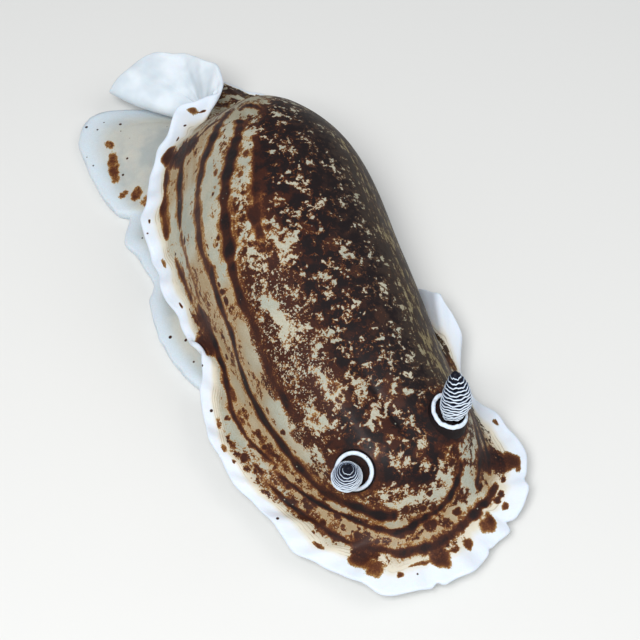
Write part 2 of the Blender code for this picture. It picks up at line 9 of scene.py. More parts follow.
import bmesh
import bpy
import numpy as np
from mathutils import Matrix, Vector


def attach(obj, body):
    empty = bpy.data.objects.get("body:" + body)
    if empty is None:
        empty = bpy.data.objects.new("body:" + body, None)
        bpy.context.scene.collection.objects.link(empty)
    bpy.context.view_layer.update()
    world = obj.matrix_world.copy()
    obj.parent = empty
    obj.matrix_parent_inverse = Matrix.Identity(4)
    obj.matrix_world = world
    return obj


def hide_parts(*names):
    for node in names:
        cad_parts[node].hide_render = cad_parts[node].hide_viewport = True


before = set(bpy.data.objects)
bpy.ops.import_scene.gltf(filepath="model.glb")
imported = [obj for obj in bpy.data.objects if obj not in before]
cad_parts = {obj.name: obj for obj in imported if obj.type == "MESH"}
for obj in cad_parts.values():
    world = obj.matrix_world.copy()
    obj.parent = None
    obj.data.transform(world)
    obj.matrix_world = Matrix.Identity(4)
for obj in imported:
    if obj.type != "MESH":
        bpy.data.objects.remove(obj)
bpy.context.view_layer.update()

MM = 0.001
TURN = 2.0 * math.pi
EPS = 1.0e-3

# Place of the body in its frame, as in the solids
SHIFT = np.array([0.61, -0.5, 0.0])

# Back of the mantle, as in the solids
RING_MIDDLE_Y = -3.4
RING_HALF_LENGTH = 24.6
RING_REAR_LENGTH = 23.4
RING_HALF_WIDTH = 9.2
RING_FRONT_POWER = 3.4
RING_REAR_POWER = 2.6
RING_Z = 6.0
RING_R = 0.72
RIDGE_FRONT_Y = -21.5
RIDGE_REAR_Y = 12.5
DOME_OUT = 0.9
RIDGE_HEIGHTS = (
    (-24.0, 9.3),
    (-19.0, 10.6),
    (-12.0, 13.0),
    (-4.0, 15.2),
    (4.0, 16.5),
    (9.0, 16.0),
    (13.0, 14.6),
)
CORE_Z = 5.0

# Root ring stations: angle from the head over the right side, rise, opening angle, fall power
RING_STATIONS = (
    (0, -1.6, 48, 1.12),
    (42, -1.4, 56, 1.12),
    (61, -0.2, 72, 1.12),
    (105, 0.6, 76, 1.12),
    (122, 1.3, 57, 0.82),
    (142, 2.6, 42, 0.60),
    (160, 1.8, 44, 0.60),
    (180, 0.9, 50, 0.72),
    (209, 0.8, 62, 1.05),
    (237, 0.3, 80, 1.12),
    (283, -0.2, 82, 1.12),
    (306, -0.6, 66, 1.12),
    (324, -1.4, 52, 1.12),
)

# Mantle edge stations: angle, x, y, z, lift of the edge in degrees
EDGE_STATIONS = (
    (0, 2.2, -33.2, 2.2, -10),
    (19, -4.9, -32.7, 2.2, -10),
    (26, -8.6, -29.0, 2.2, -10),
    (34, -11.4, -24.6, 2.2, -10),
    (40, -12.3, -20.6, 2.4, -8),
    (45, -13.4, -16.9, 2.6, -5),
    (54, -13.7, -12.5, 3.0, 0),
    (66, -12.6, -7.2, 4.0, 5),
    (75, -11.0, -4.2, 4.6, 10),
    (94, -11.4, -0.7, 3.8, 0),
    (109, -11.3, 5.5, 3.6, 5),
    (123, -10.5, 12.0, 4.5, 5),
    (135, -8.3, 16.5, 5.0, 5),
    (147, -4.4, 21.3, 6.0, 15),
    (155, -1.8, 23.4, 7.0, 25),
    (163, 2.5, 23.3, 7.4, 35),
    (170, 3.7, 26.5, 7.2, 35),
    (180, 1.7, 31.3, 6.0, 25),
    (191, -2.7, 33.4, 4.7, 15),
    (198, -6.6, 32.2, 3.2, 10),
    (204, -3.4, 34.4, 2.0, 0),
    (210, 1.9, 33.2, 1.6, -5),
    (216, 7.2, 27.8, 1.5, -10),
    (224, 10.9, 21.2, 1.5, -20),
    (237, 12.4, 14.5, 1.8, -20),
    (251, 12.4, 6.5, 1.8, -10),
    (270, 11.6, 0.5, 1.9, -20),
    (290, 11.1, -3.8, 2.0, -25),
    (296, 11.9, -7.4, 4.6, 10),
    (300, 12.1, -11.5, 3.5, 5),
    (305, 10.65, -14.9, 2.4, -5),
    (310, 10.3, -18.0, 2.6, -5),
    (317, 11.4, -21.5, 2.8, 0),
    (325, 11.2, -26.6, 2.8, 0),
    (334, 8.6, -29.8, 2.2, -10),
)
ROOT_THICK = 1.5
MID_THICK = 0.80
EDGE_THICK = 0.50

# Foot, as in the solids
SOLE_EDGE_Z = 0.85
FLANGE_TOP_Z = 1.5
FLANK_Q = 0.62
CORE_R = 0.5
FLANGE_R = 0.78
FLANGE_PULL = 0.24
FOOT_DROP = 0.6
FOOT_STATIONS = (
    (0, 0.8, -27.0),
    (29, -5.0, -25.2),
    (45, -7.5, -19.0),
    (57, -8.6, -12.0),
    (66, -11.4, -6.2),
    (78, -12.7, -2.6),
    (97, -13.1, 2.0),
    (108, -12.4, 6.0),
    (115, -11.2, 8.2),
    (121, -11.3, 10.2),
    (128, -11.5, 12.6),
    (133, -11.9, 14.4),
    (138, -10.4, 16.9),
    (144, -11.3, 18.2),
    (151, -11.9, 21.2),
    (165, -11.6, 28.4),
    (176, -9.4, 31.4),
    (192, -5.6, 31.0),
    (205, 0.0, 27.6),
    (217, 5.0, 22.0),
    (233, 8.6, 14.0),
    (255, 9.6, 4.0),
    (295, 9.2, -7.0),
    (315, 8.2, -18.0),
    (331, 5.4, -25.2),
)

# Rhinophores, sheaths and gills: roots (angle, r) and leans as in the solids
RIGHT_ROOT = (41.8, 0.53)
LEFT_ROOT = (320.2, 0.406)
RIGHT_CLUB_ROOT = (43.1, 0.573)
LEFT_CLUB_ROOT = (319.9, 0.434)
RIGHT_LEAN = (-0.19, -0.37, 0.91)
LEFT_LEAN = (0.06, 0.06, 1.0)
RIGHT_SHEATH_LEAN = (-0.34, -0.43, 0.84)
LEFT_SHEATH_LEAN = (0.22, -0.02, 0.97)
STALK_RADIUS = 0.50
CLUB_HIGH = 6.3
CLUB_RADIUS = 1.36
CLUB_WIDEST = 0.32
GILL_ROOT = (197.0, 0.69)
GILL_LEAN = (0.24, 0.92, 0.30)

# Collars: outer and inner radius (wider than the solids'), height, least rise, flare of the foot
SHEATH = (1.72, 1.38, 0.9, 0.55, 0.9)
GILL_RIM = (2.2, 1.75, 0.42, 0.55, 0.7)

# Head and feelers, as in the solids
HEAD_MIDDLE = (0.9, -29.1, 1.05)
HEAD_HALF = (2.6, 1.4, 0.72)
MOUTH_DEPTH = 0.35
TENTACLE_LENGTH = 2.3
TENTACLE_RADIUS = 0.48

# Finer forms that the solids leave out
MOUND_HIGH = 0.45
MOUND_WIDE = 2.6
LEAVES = 15
LEAF_LOW = 1.05
LEAF_FOOT_SHARE = 0.72
LEAF_SLANT = 0.38
LEAF_SIDES = 56
CORE_SHARE = 0.74

# How the clubs bend: shift half way up and at the tip
RIGHT_BEND = ((-0.38, -0.14, -0.22), (-0.10, 0.06, 0.06))
LEFT_BEND = ((0.12, -0.17, -0.12), (-0.10, 0.30, 0.14))

# Gills: leaves, and the course of a stem outwards and up (start, run, curl back)
GILL_OUT = (0.7, 0.75, 0.15)
GILL_UP = (0.45, 0.75, 0.15)
GILL_LEAVES = 7
GILL_PAIRS = 8
GILL_REACH = 0.40

# Collars: sides, how far the skin round a root is looked at, width of the white rim
COLLAR_SIDES = 96
SEAT_REACH = 2.7
RIM_BAND = 0.21

# Fineness of the skins
MANTLE_COLUMNS = 640
MANTLE_ROWS = 112
TURN_ROWS = 8
UNDER_ROWS = 26
BED_ROWS = 5
FOOT_COLUMNS = 360
FOOT_ROWS = 60
FOOT_EDGE_SHARES = (0.75, 0.45, 0.2, 0.0)
SOLE_R = (0.9, 0.7, 0.4, 0.0)
MARGIN_SAMPLES = 1441
RING_SAMPLES = 721

# Long marks follow the body: how tight they lie along and across it, per millimetre
FLOW_ALONG = 0.28
FLOW_ACROSS = 1.9
BACK_REACH = 14.0


def smooth(t):
    t = np.clip(t, 0.0, 1.0)
    return t * t * (3.0 - 2.0 * t)


def unit(v):
    return v / np.maximum(np.linalg.norm(v, axis=-1, keepdims=True), 1.0e-9)


def around(phi, stations):
    """Closed smooth curve through stations given by angle."""
    table = np.array(stations, float)
    keys = np.radians(table[:, 0])
    values = table[:, 1:]
    phi = np.mod(phi, TURN)
    keys = np.concatenate([keys[-2:] - TURN, keys, keys[:3] + TURN])
    values = np.concatenate([values[-2:], values, values[:3]])
    low = np.clip(np.searchsorted(keys, phi, side="right") - 1, 1, len(keys) - 3)
    step = (keys[low + 1] - keys[low])[..., None]

    def slope(first, last):
        return (values[last] - values[first]) / (keys[last] - keys[first])[..., None] * step

    slope_0 = slope(low - 1, low + 1)
    slope_1 = slope(low, low + 2)
    t = (phi - keys[low])[..., None] / step
    t2 = t * t
    t3 = t2 * t
    start = (2.0 * t3 - 3.0 * t2 + 1.0) * values[low] + (t3 - 2.0 * t2 + t) * slope_0
    return start + (3.0 * t2 - 2.0 * t3) * values[low + 1] + (t3 - t2) * slope_1


def middle_x(y):
    """The body's own middle line, bent towards the left at both ends."""
    return -0.9 + 2.5 * smooth((y + 4.0) / 20.0) + 1.9 * smooth((-13.0 - y) / 16.0)


def ring(phi):
    """Line where the back turns into the free mantle skirt."""
    c = np.cos(phi)
    s = np.sin(phi)
    reach = np.where(c < 0.0, RING_REAR_LENGTH, RING_HALF_LENGTH)
    power = np.where(c < 0.0, RING_REAR_POWER, RING_FRONT_POWER)
    size = (np.abs(c) ** power + np.abs(s) ** power) ** (1.0 / power)
    y = RING_MIDDLE_Y - reach * c / size
    left = 0.99 + 0.26 * np.exp(-(((y - 5.0) / 18.0) ** 2))
    right = 0.91 + 0.12 * np.exp(-(((y - 7.0) / 8.0) ** 2))
    width = RING_HALF_WIDTH * (1.0 - 0.05 * (y / 25.0) ** 2) * np.where(s < 0.0, left, right)
    x = middle_x(y) - width * s / size
    z = RING_Z + around(phi, RING_STATIONS)[..., 0]
    return np.stack([x, y, z], -1)


def ridge(phi):
    """Top line of the back, from the head end at 0 to the tail end at 180 degrees."""
    y = RIDGE_FRONT_Y + (RIDGE_REAR_Y - RIDGE_FRONT_Y) * (1.0 - np.cos(phi)) / 2.0
    table = np.array(RIDGE_HEIGHTS)
    z = np.interp(y, table[:, 0], table[:, 1])
    return np.stack([middle_x(y), y, z], -1)


def top(phi, r):
    """Upper face of the mantle: r runs from the ridge (0) to the free edge (1)."""
    phi, r = np.broadcast_arrays(np.asarray(phi, float), np.asarray(r, float))
    root = ring(phi)
    crest = ridge(phi)
    edge = around(phi, EDGE_STATIONS)
    lift = np.radians(edge[..., 3])
    edge = edge[..., :3]
    stations = around(phi, RING_STATIONS)
    opening = np.radians(stations[..., 1])
    power = stations[..., 2]
    angle = np.clip(r / RING_R, 0.0, 1.0) * opening
    out = (np.sin(angle) / np.sin(opening)) ** DOME_OUT
    down = ((1.0 - np.cos(angle)) / (1.0 - np.cos(opening))) ** power
    back = crest + (root - crest) * out[..., None]
    back[..., 2] = crest[..., 2] + (root[..., 2] - crest[..., 2]) * down
    v = np.clip((r - RING_R) / (1.0 - RING_R), 0.0, 1.0)[..., None]
    side = root - crest
    drop = -side[..., 2].copy()
    side[..., 2] = 0.0
    reach = np.linalg.norm(side, axis=-1)
    fall = power * np.sin(opening) / (1.0 - np.cos(opening)) * drop
    run = DOME_OUT * np.cos(opening) / np.sin(opening) * reach
    start = unit(side) * (run / np.hypot(run, fall))[..., None]
    start[..., 2] = -fall / np.hypot(run, fall)
    span = edge - root
    length = 0.9 * np.linalg.norm(span, axis=-1, keepdims=True)
    span[..., 2] = 0.0
    end = unit(span) * np.cos(lift)[..., None]
    end[..., 2] = np.sin(lift)
    v2 = v * v
    v3 = v2 * v
    skirt = (2.0 * v3 - 3.0 * v2 + 1.0) * root + (v3 - 2.0 * v2 + v) * length * start
    skirt = skirt + (3.0 * v2 - 2.0 * v3) * edge + (v3 - v2) * length * end
    return np.where((r > RING_R)[..., None], skirt, back)


def slopes(phi, r):
    """Change of the upper face along the angle and along r."""
    r = np.clip(r, EPS, 1.0 - EPS)
    along_phi = (top(phi + EPS, r) - top(phi - EPS, r)) / (2.0 * EPS)
    along_r = (top(phi, r + EPS) - top(phi, r - EPS)) / (2.0 * EPS)
    return along_phi, along_r


def normal(phi, r):
    """Unit normal of the upper face, pointing out of the body."""
    along_phi, along_r = slopes(phi, r)
    return unit(np.cross(along_phi, along_r))


def thickness(r):
    """Thickness of the free mantle skirt."""
    v = (np.maximum(r, RING_R) - RING_R) / (1.0 - RING_R)
    thick = np.where(v < 0.5, ROOT_THICK + (MID_THICK - ROOT_THICK) * v * 2.0, MID_THICK)
    return thick - (MID_THICK - EDGE_THICK) * smooth((v - 0.8) / 0.2)


def under(phi, r):
    """Lower face of the mantle; inside the ring it is the flat bed over the foot."""
    phi, r = np.broadcast_arrays(np.asarray(phi, float), np.asarray(r, float))
    outer = np.maximum(r, RING_R)
    skin = top(phi, outer) - normal(phi, outer) * thickness(r)[..., None]
    bed = ridge(phi)
    bed[..., 2] = CORE_Z
    q = np.clip(r / RING_R, 0.0, 1.0)[..., None]
    return bed + (skin - bed) * q


def foot_top(phi, r):
    """Upper face of the foot: core, flank and thin flange."""
    phi, r = np.broadcast_arrays(np.asarray(phi, float), np.asarray(r, float))
    core = under(phi, RING_R * FLANK_Q * np.clip(r / CORE_R, 0.0, 1.0))
    core[..., 2] -= FOOT_DROP
    edge = around(phi, FOOT_STATIONS)
    edge = np.concatenate([edge, np.full(edge.shape[:-1] + (1,), SOLE_EDGE_Z)], -1)
    flange = edge + (core - edge) * FLANGE_PULL
    flange[..., 2] = FLANGE_TOP_Z
    t = smooth((r - CORE_R) / (FLANGE_R - CORE_R))[..., None]
    u = np.clip((r - FLANGE_R) / (1.0 - FLANGE_R), 0.0, 1.0)[..., None]
    body = core + (flange - core) * t
    return np.where((r > FLANGE_R)[..., None], flange + (edge - flange) * u, body)


def seat_of(root):
    """Angle in radians, r and place of a root on the mantle."""
    phi = np.array(math.radians(root[0]))
    r = np.array(root[1])
    return phi, r, top(phi, r)


def root_gap(places):
    """Distance from the nearer one of the rhinophores' roots."""
    right, left = (places - seat_of(root)[2] for root in (RIGHT_ROOT, LEFT_ROOT))
    return np.minimum(np.linalg.norm(right, axis=-1), np.linalg.norm(left, axis=-1))


# Nodes


def node(tree, kind, inputs=None, **settings):
    """New node with its settings, and its inputs linked or set. A plain colour gets its alpha."""
    made = tree.nodes.new(kind)
    for key, value in settings.items():
        setattr(made, key, value)
    for key, value in (inputs or {}).items():
        socket = made.inputs[key]
        if isinstance(value, bpy.types.NodeSocket):
            tree.links.new(value, socket)
        else:
            socket.default_value = (*value, 1.0) if socket.type == "RGBA" else value
    return made


def maths(tree, operation, first, second=0.0):
    return node(tree, "ShaderNodeMath", {0: first, 1: second}, operation=operation).outputs[0]


def vector_maths(tree, operation, inputs):
    return node(tree, "ShaderNodeVectorMath", inputs, operation=operation).outputs[0]


def vector(tree, **axes):
    """Vector from what is given of X, Y and Z."""
    return node(tree, "ShaderNodeCombineXYZ", axes).outputs[0]


def plus(tree, first, second):
    return maths(tree, "ADD", first, second)


def minus(tree, first, second):
    return maths(tree, "SUBTRACT", first, second)


def times(tree, first, second):
    return maths(tree, "MULTIPLY", first, second)


def over(tree, first, second):
    return maths(tree, "DIVIDE", first, second)


def between(tree, value, low, high, start=0.0):
    """The start below the low value, 1 above the high one, smooth in the middle."""
    inputs = {"Value": value, "From Min": low, "From Max": high, "To Min": start}
    return node(tree, "ShaderNodeMapRange", inputs, interpolation_type="SMOOTHSTEP").outputs[0]


def falling(tree, value, low, high):
    """1 below the low value, 0 above the high one."""
    return minus(tree, 1.0, between(tree, value, low, high))


def mixed(tree, factor, first, second):
    """Colour between two others."""
    inputs = {"Factor": factor, 6: first, 7: second}
    return node(tree, "ShaderNodeMix", inputs, data_type="RGBA").outputs[2]


def ramp(tree, factor, stops):
    """Colour ramp through (position, colour) stops."""
    made = node(tree, "ShaderNodeValToRGB", {"Fac": factor})
    bar = made.color_ramp.elements
    while len(bar) < len(stops):
        bar.new(0.5)
    for item, (place, colour) in zip(bar, stops):
        item.position = place
        item.color = (*colour, 1.0)
    return made.outputs["Color"]


def noise(tree, place, scale, detail=3.0, roughness=0.55, distortion=0.0):
    """Noise about zero, from roughly -0.5 to 0.5."""
    inputs = {"Vector": place, "Scale": scale, "Detail": detail}
    inputs |= {"Roughness": roughness, "Distortion": distortion}
    made = node(tree, "ShaderNodeTexNoise", inputs)
    return minus(tree, made.outputs["Fac"], 0.5)


# Rounded spots: cells per metre, and how their outlines wander (per metre, metres)
SPOT_SCALE = 900.0
SPOT_WARP_SCALE = 1500.0
SPOT_WARP = 0.0006


def chosen_cells(tree, place, scale, share):
    """Distance from the cells' middles, the cells' chances, and 1 in a share of the cells."""
    cells = node(tree, "ShaderNodeTexVoronoi", {"Vector": place, "Scale": scale}).outputs
    chances = node(tree, "ShaderNodeSeparateColor", {0: cells["Color"]}).outputs
    return cells["Distance"], chances, maths(tree, "LESS_THAN", chances[0], share)


def dots(tree, place, scale, share, size):
    """1 inside small round dots, of which only a share of the cells has one."""
    away, chances, chosen = chosen_cells(tree, place, scale, share)
    width = times(tree, plus(tree, over(tree, chances[0], share), 0.4), size)
    return times(tree, chosen, falling(tree, away, width, times(tree, width, 1.3)))


def round_spots(tree, place, share):
    """Rounded spots with soft uneven edges, in a share of the cells: 1 in their middle."""
    bends = {"Vector": place, "Scale": SPOT_WARP_SCALE, "Detail": 2.0}
    warp = node(tree, "ShaderNodeTexNoise", bends).outputs["Color"]
    warp = vector_maths(tree, "SUBTRACT", {0: warp, 1: (0.5, 0.5, 0.5)})
    warp = vector_maths(tree, "SCALE", {0: warp, "Scale": SPOT_WARP})
    moved = vector_maths(tree, "ADD", {0: place, 1: warp})
    away, chances, chosen = chosen_cells(tree, moved, SPOT_SCALE, share)
    width = plus(tree, 0.22, times(tree, chances[1], 0.20))
    near = falling(tree, away, times(tree, width, 0.5), times(tree, width, 1.5))
    return times(tree, chosen, near)


def attribute(tree, name, output="Fac"):
    return node(tree, "ShaderNodeAttribute", attribute_name=name).outputs[output]


def object_place(tree):
    return node(tree, "ShaderNodeTexCoord").outputs["Object"]


FLOAT = "NodeSocketFloat"
COLOUR = "NodeSocketColor"
VECTOR = "NodeSocketVector"
WHOLE = "NodeSocketInt"
SHAPE = "NodeSocketGeometry"


def new_tree(kind, name, inputs, outputs):
    """Empty node group with its sockets, and its two end nodes."""
    tree = bpy.data.node_groups.new(name, kind)
    for label, socket_kind, value in inputs:
        socket = tree.interface.new_socket(label, in_out="INPUT", socket_type=socket_kind)
        if value is not None:
            socket.default_value = value
    for label, socket_kind in outputs:
        tree.interface.new_socket(label, in_out="OUTPUT", socket_type=socket_kind)
    start = tree.nodes.new("NodeGroupInput")
    end = tree.nodes.new("NodeGroupOutput")
    return tree, start.outputs, end.inputs


# Pigment colours, linear; the dark olive-grey among them is painted shade
PALE = (0.475, 0.46, 0.37)
GREY_PALE = (0.38, 0.40, 0.34)
CREAM = (0.575, 0.52, 0.42)
TAN = (0.22, 0.175, 0.085)
STRAW = (0.38, 0.24, 0.09)
ORANGE = (0.215, 0.090, 0.025)
RUST = (0.105, 0.033, 0.013)
UMBER = (0.042, 0.0130, 0.0080)
SOOT = (0.0115, 0.0075, 0.0080)
RIM_WHITE = (0.68, 0.75, 0.84)
MILK = (0.58, 0.65, 0.70)
# Dark olive-grey that the browns turn towards where shade is painted on the far side and rear
SHADE_OLIVE = (0.030, 0.026, 0.021)
WASH = (0.34, 0.21, 0.085)

# Colour of a place by how much ink it has
PIGMENT_STOPS = (
    (0.0, PALE),
    (0.38, PALE),
    (0.435, STRAW),
    (0.50, ORANGE),
    (0.60, RUST),
    (0.80, UMBER),
    (1.0, UMBER),
)

# Margin, underside and foot
RIM_BLUE = (0.70, 0.74, 0.78)
CREAM_LIGHT = (0.66, 0.62, 0.51)
# Painted shade of the small ridges along the margin
LINE_SHADE = (0.26, 0.19, 0.10)
MILK_LIGHT = (0.72, 0.78, 0.83)
FOOT_GREY = (0.40, 0.43, 0.42)
FOOT_CREAM = (0.53, 0.53, 0.48)
FOOT_RIM = (0.62, 0.70, 0.76)

# Rhinophores, collars, gills and head
GROOVE_BLACK = (0.005, 0.006, 0.013)
GROOVE_BLUE = (0.010, 0.013, 0.028)
LEAF_BLUE = (0.10, 0.14, 0.22)
LEAF_WHITE = (0.74, 0.83, 0.93)
COLLAR_SPECK = (0.10, 0.08, 0.10)
SHEATH_DARK = (0.014, 0.008, 0.009)
SHEATH_WHITE = (0.70, 0.78, 0.88)
GILL_RIM_DARK = (0.05, 0.022, 0.014)
GILL_RIM_PALE = (0.36, 0.30, 0.20)
GILL_BROWN = (0.11, 0.075, 0.04)
GILL_DARK = (0.05, 0.03, 0.018)
HEAD_BLUE = (0.50, 0.53, 0.54)
HEAD_CREAM = (0.60, 0.60, 0.54)

# Surroundings
FLOOR_GREY = (0.74, 0.74, 0.72)
SKY = (0.92, 0.95, 1.0)

# Wet flesh of the skins: thin coat, light inside the flesh (scale in metres)
WET_FLESH = {
    "Coat Weight": 0.03,
    "Coat Roughness": 0.16,
    "Specular IOR Level": 0.13,
    "Subsurface Radius": (1.0, 0.55, 0.4),
    "Subsurface Scale": 0.0010,
}

# Depth of the skins' relief, in metres
RELIEF_DEPTH = 0.0002

# Values that run past 1 are kept on the mesh divided by these
EDGE_UNIT = 10.0
SPECKLE_UNIT = 10.0
STREAK_UNIT = 5.0


# Noises of the skin: cells per metre, detail, roughness, distortion
BROAD = (560.0, 2.0, 0.5)
BLOB = (1350.0, 3.0, 0.6, 0.5)
FLECK = (3300.0, 3.0, 0.65, 0.6)
GRAIN = (8000.0, 2.0, 0.6)
SPECK = (5200.0, 2.0, 0.6)
DEPTHS = (1000.0, 3.0, 0.6)
FOLD = (300.0, 3.0, 0.5)
DIMPLE = (1500.0, 2.0, 0.5)
PORE = (5200.0, 2.0, 0.5)
SHEEN = (900.0, 2.0, 0.5)
WIDE_WANDER = (260.0, 2.0, 0.5)
FINE_WANDER = (1600.0, 2.0, 0.5)
BREAKS = (480.0, 2.0, 0.5)
MANTLE_TONE = (300.0, 3.0, 0.6)
UNDER_TONE = (420.0, 2.0, 0.5)
FOOT_TONE = (240.0, 3.0, 0.6)
HEAD_TONE = (700.0, 3.0)
LEAF_TONE = (2400.0, 2.0, 0.5)
RIM_TONE = (1500.0, 3.0, 0.6)

# Noises along the body's long lines, in their own places
FIBRE = (1.0, 3.0, 0.62)
FINE_FIBRE = (3.1, 3.0, 0.6)

# Dots: cells per metre, share of them that hold one, size
BLACK_DOTS = (900.0, 0.45, 0.105)
WHITE_DOTS = (2100.0, 0.2, 0.09)
COLLAR_DOTS = (2300.0, 0.30, 0.22)
FLESH_DOTS = 1300.0
FLESH_DOT_SIZE = 0.20

# Ink from which pale skin shows through, and at which it is covered
BARE = 0.34
COVERED = 0.43

# Fine lines of painted shade along small ridges of the cream band, one every so many millimetres
LINE_STEP = 0.42


def pigment_group():
    """Brown marks on pale skin, from how much ink a place has, with painted shade that turns the
    browns olive-grey.
    """
    inputs = (
        ("Ink", FLOAT, 0.3),
        ("Speckle", FLOAT, 0.3),
        ("Streak", FLOAT, 0.0),
        ("Flow", VECTOR, None),
        ("Pale", COLOUR, (*PALE, 1.0)),
        ("Dust", FLOAT, 0.1),
        ("Grit", FLOAT, 0.0),
        ("Spots", FLOAT, 0.0),
        ("Far Shade", FLOAT, 0.0),
    )
    outputs = (("Color", COLOUR), ("Dark", FLOAT))
    tree, given, out = new_tree("ShaderNodeTree", "pigment", inputs, outputs)
    place = object_place(tree)
    broad = noise(tree, place, *BROAD)
    blob = noise(tree, place, *BLOB)
    fleck = noise(tree, place, *FLECK)
    fibre = noise(tree, given["Flow"], *FIBRE)
    fine_fibre = noise(tree, given["Flow"], *FINE_FIBRE)
    grain = noise(tree, place, *GRAIN)
    speck = noise(tree, place, *SPECK)
    mottle = plus(tree, times(tree, broad, 0.35), times(tree, blob, 0.65))
    mottle = plus(tree, mottle, times(tree, fleck, 0.36))
    streak = plus(tree, fibre, times(tree, fine_fibre, 0.6))
    ink = plus(tree, given["Ink"], times(tree, mottle, given["Speckle"]))
    ink = plus(tree, ink, times(tree, streak, given["Streak"]))
    ink = plus(tree, ink, times(tree, grain, 0.35))
    ink = minus(tree, ink, times(tree, between(tree, speck, 0.02, 0.16), given["Grit"]))
    ink = maths(tree, "MAXIMUM", ink, times(tree, round_spots(tree, place, given["Spots"]), 0.80))
    bare = falling(tree, ink, BARE, COVERED)
    dust = times(tree, between(tree, grain, -0.15, 0.2), given["Dust"])
    ground = mixed(tree, dust, given["Pale"], TAN)
    deep = times(tree, minus(tree, given["Ink"], 0.90), 1.3)
    deep = plus(tree, deep, noise(tree, place, *DEPTHS))
    deep = times(tree, between(tree, deep, -0.12, 0.16), between(tree, ink, 0.75, 1.1))
    # Browns turned olive-grey: painted shade of the side away from the light
    brown = mixed(tree, times(tree, given["Far Shade"], 0.8), ramp(tree, ink, PIGMENT_STOPS), SHADE_OLIVE)
    brown = mixed(tree, deep, brown, SOOT)
    colour = mixed(tree, bare, brown, ground)
    black = times(tree, dots(tree, place, *BLACK_DOTS), bare)
    colour = mixed(tree, black, colour, UMBER)
    white = times(tree, dots(tree, place, *WHITE_DOTS), between(tree, ink, 0.8, 1.0))
    colour = mixed(tree, times(tree, white, 0.8), colour, PALE)
    tree.links.new(colour, out["Color"])
    tree.links.new(minus(tree, 1.0, bare), out["Dark"])
    return tree


def wet_group():
    """Fine folds and pores of wet skin, as a height, and how rough it is."""
    inputs = (("Fold", FLOAT, 1.0), ("Pore", FLOAT, 1.0))
    outputs = (("Height", FLOAT), ("Roughness", FLOAT))
    tree, given, out = new_tree("ShaderNodeTree", "wet_skin", inputs, outputs)
    place = object_place(tree)
    fold = noise(tree, place, *FOLD)
    dimple = noise(tree, place, *DIMPLE)
    pore = noise(tree, place, *PORE)
    height = times(tree, fold, given["Fold"])
    height = plus(tree, height, times(tree, dimple, times(tree, given["Pore"], 0.22)))
    height = plus(tree, height, times(tree, pore, times(tree, given["Pore"], 0.09)))
    tree.links.new(height, out["Height"])
    rough = plus(tree, 0.58, times(tree, noise(tree, place, *SHEEN), 0.35))
    tree.links.new(rough, out["Roughness"])
    return tree


def margin_group():
    """Colour of the pale skin near the mantle's edge: white band, cream band with fine lines of
    painted shade where small ridges run along the edge.
    """
    inputs = (("Edge", FLOAT, 5.0), ("Inner", COLOUR, (*PALE, 1.0)))
    tree, given, out = new_tree("ShaderNodeTree", "pale_margin", inputs, (("Color", COLOUR),))
    place = object_place(tree)
    edge = plus(tree, given["Edge"], times(tree, noise(tree, place, *WIDE_WANDER), 0.9))
    edge = plus(tree, edge, times(tree, noise(tree, place, *FINE_WANDER), 0.2))
    stops = ((0.0, RIM_WHITE), (0.26, RIM_BLUE), (0.40, CREAM_LIGHT), (0.62, CREAM))
    band = ramp(tree, over(tree, edge, 5.0), stops)
    colour = mixed(tree, between(tree, edge, 2.3, 3.8), band, given["Inner"])
    # Fine lines parallel to the edge: painted shade of small ridges
    phase = maths(tree, "FRACT", over(tree, edge, LINE_STEP))
    ridge_shade = falling(tree, maths(tree, "ABSOLUTE", minus(tree, phase, 0.5)), 0.05, 0.20)
    zone = times(tree, between(tree, edge, 1.5, 2.0), falling(tree, edge, 3.2, 4.2))
    broken = between(tree, noise(tree, place, *BREAKS), -0.08, 0.10)
    ridge_shade = times(tree, times(tree, ridge_shade, zone), times(tree, broken, 0.55))
    colour = mixed(tree, ridge_shade, colour, LINE_SHADE)
    tree.links.new(colour, out["Color"])
    return tree


GROUPS = {"pigment": pigment_group(), "wet": wet_group(), "margin": margin_group()}


def placed_group(tree, name, inputs):
    return node(tree, "ShaderNodeGroup", inputs, node_tree=GROUPS[name]).outputs


# Skins


def flesh_material(name, subsurface=0.2):
    """Material with a thin wet coat over flesh that light enters a little."""
    mat = bpy.data.materials.new(name)
    mat.use_nodes = True
    tree = mat.node_tree
    shader = tree.nodes["Principled BSDF"]
    for key, value in (WET_FLESH | {"Subsurface Weight": subsurface}).items():
        shader.inputs[key].default_value = value
    return mat, tree, shader


def dress(tree, shader, colour, fold, pore, strength):
    """Colour, wet folds and pores on a skin's shader."""
    tree.links.new(colour, shader.inputs["Base Color"])
    wet = placed_group(tree, "wet", {"Fold": fold, "Pore": pore})
    tree.links.new(wet["Roughness"], shader.inputs["Roughness"])
    relief = {"Height": wet["Height"], "Strength": strength, "Distance": RELIEF_DEPTH}
    made = node(tree, "ShaderNodeBump", relief)
    tree.links.new(made.outputs["Normal"], shader.inputs["Normal"])


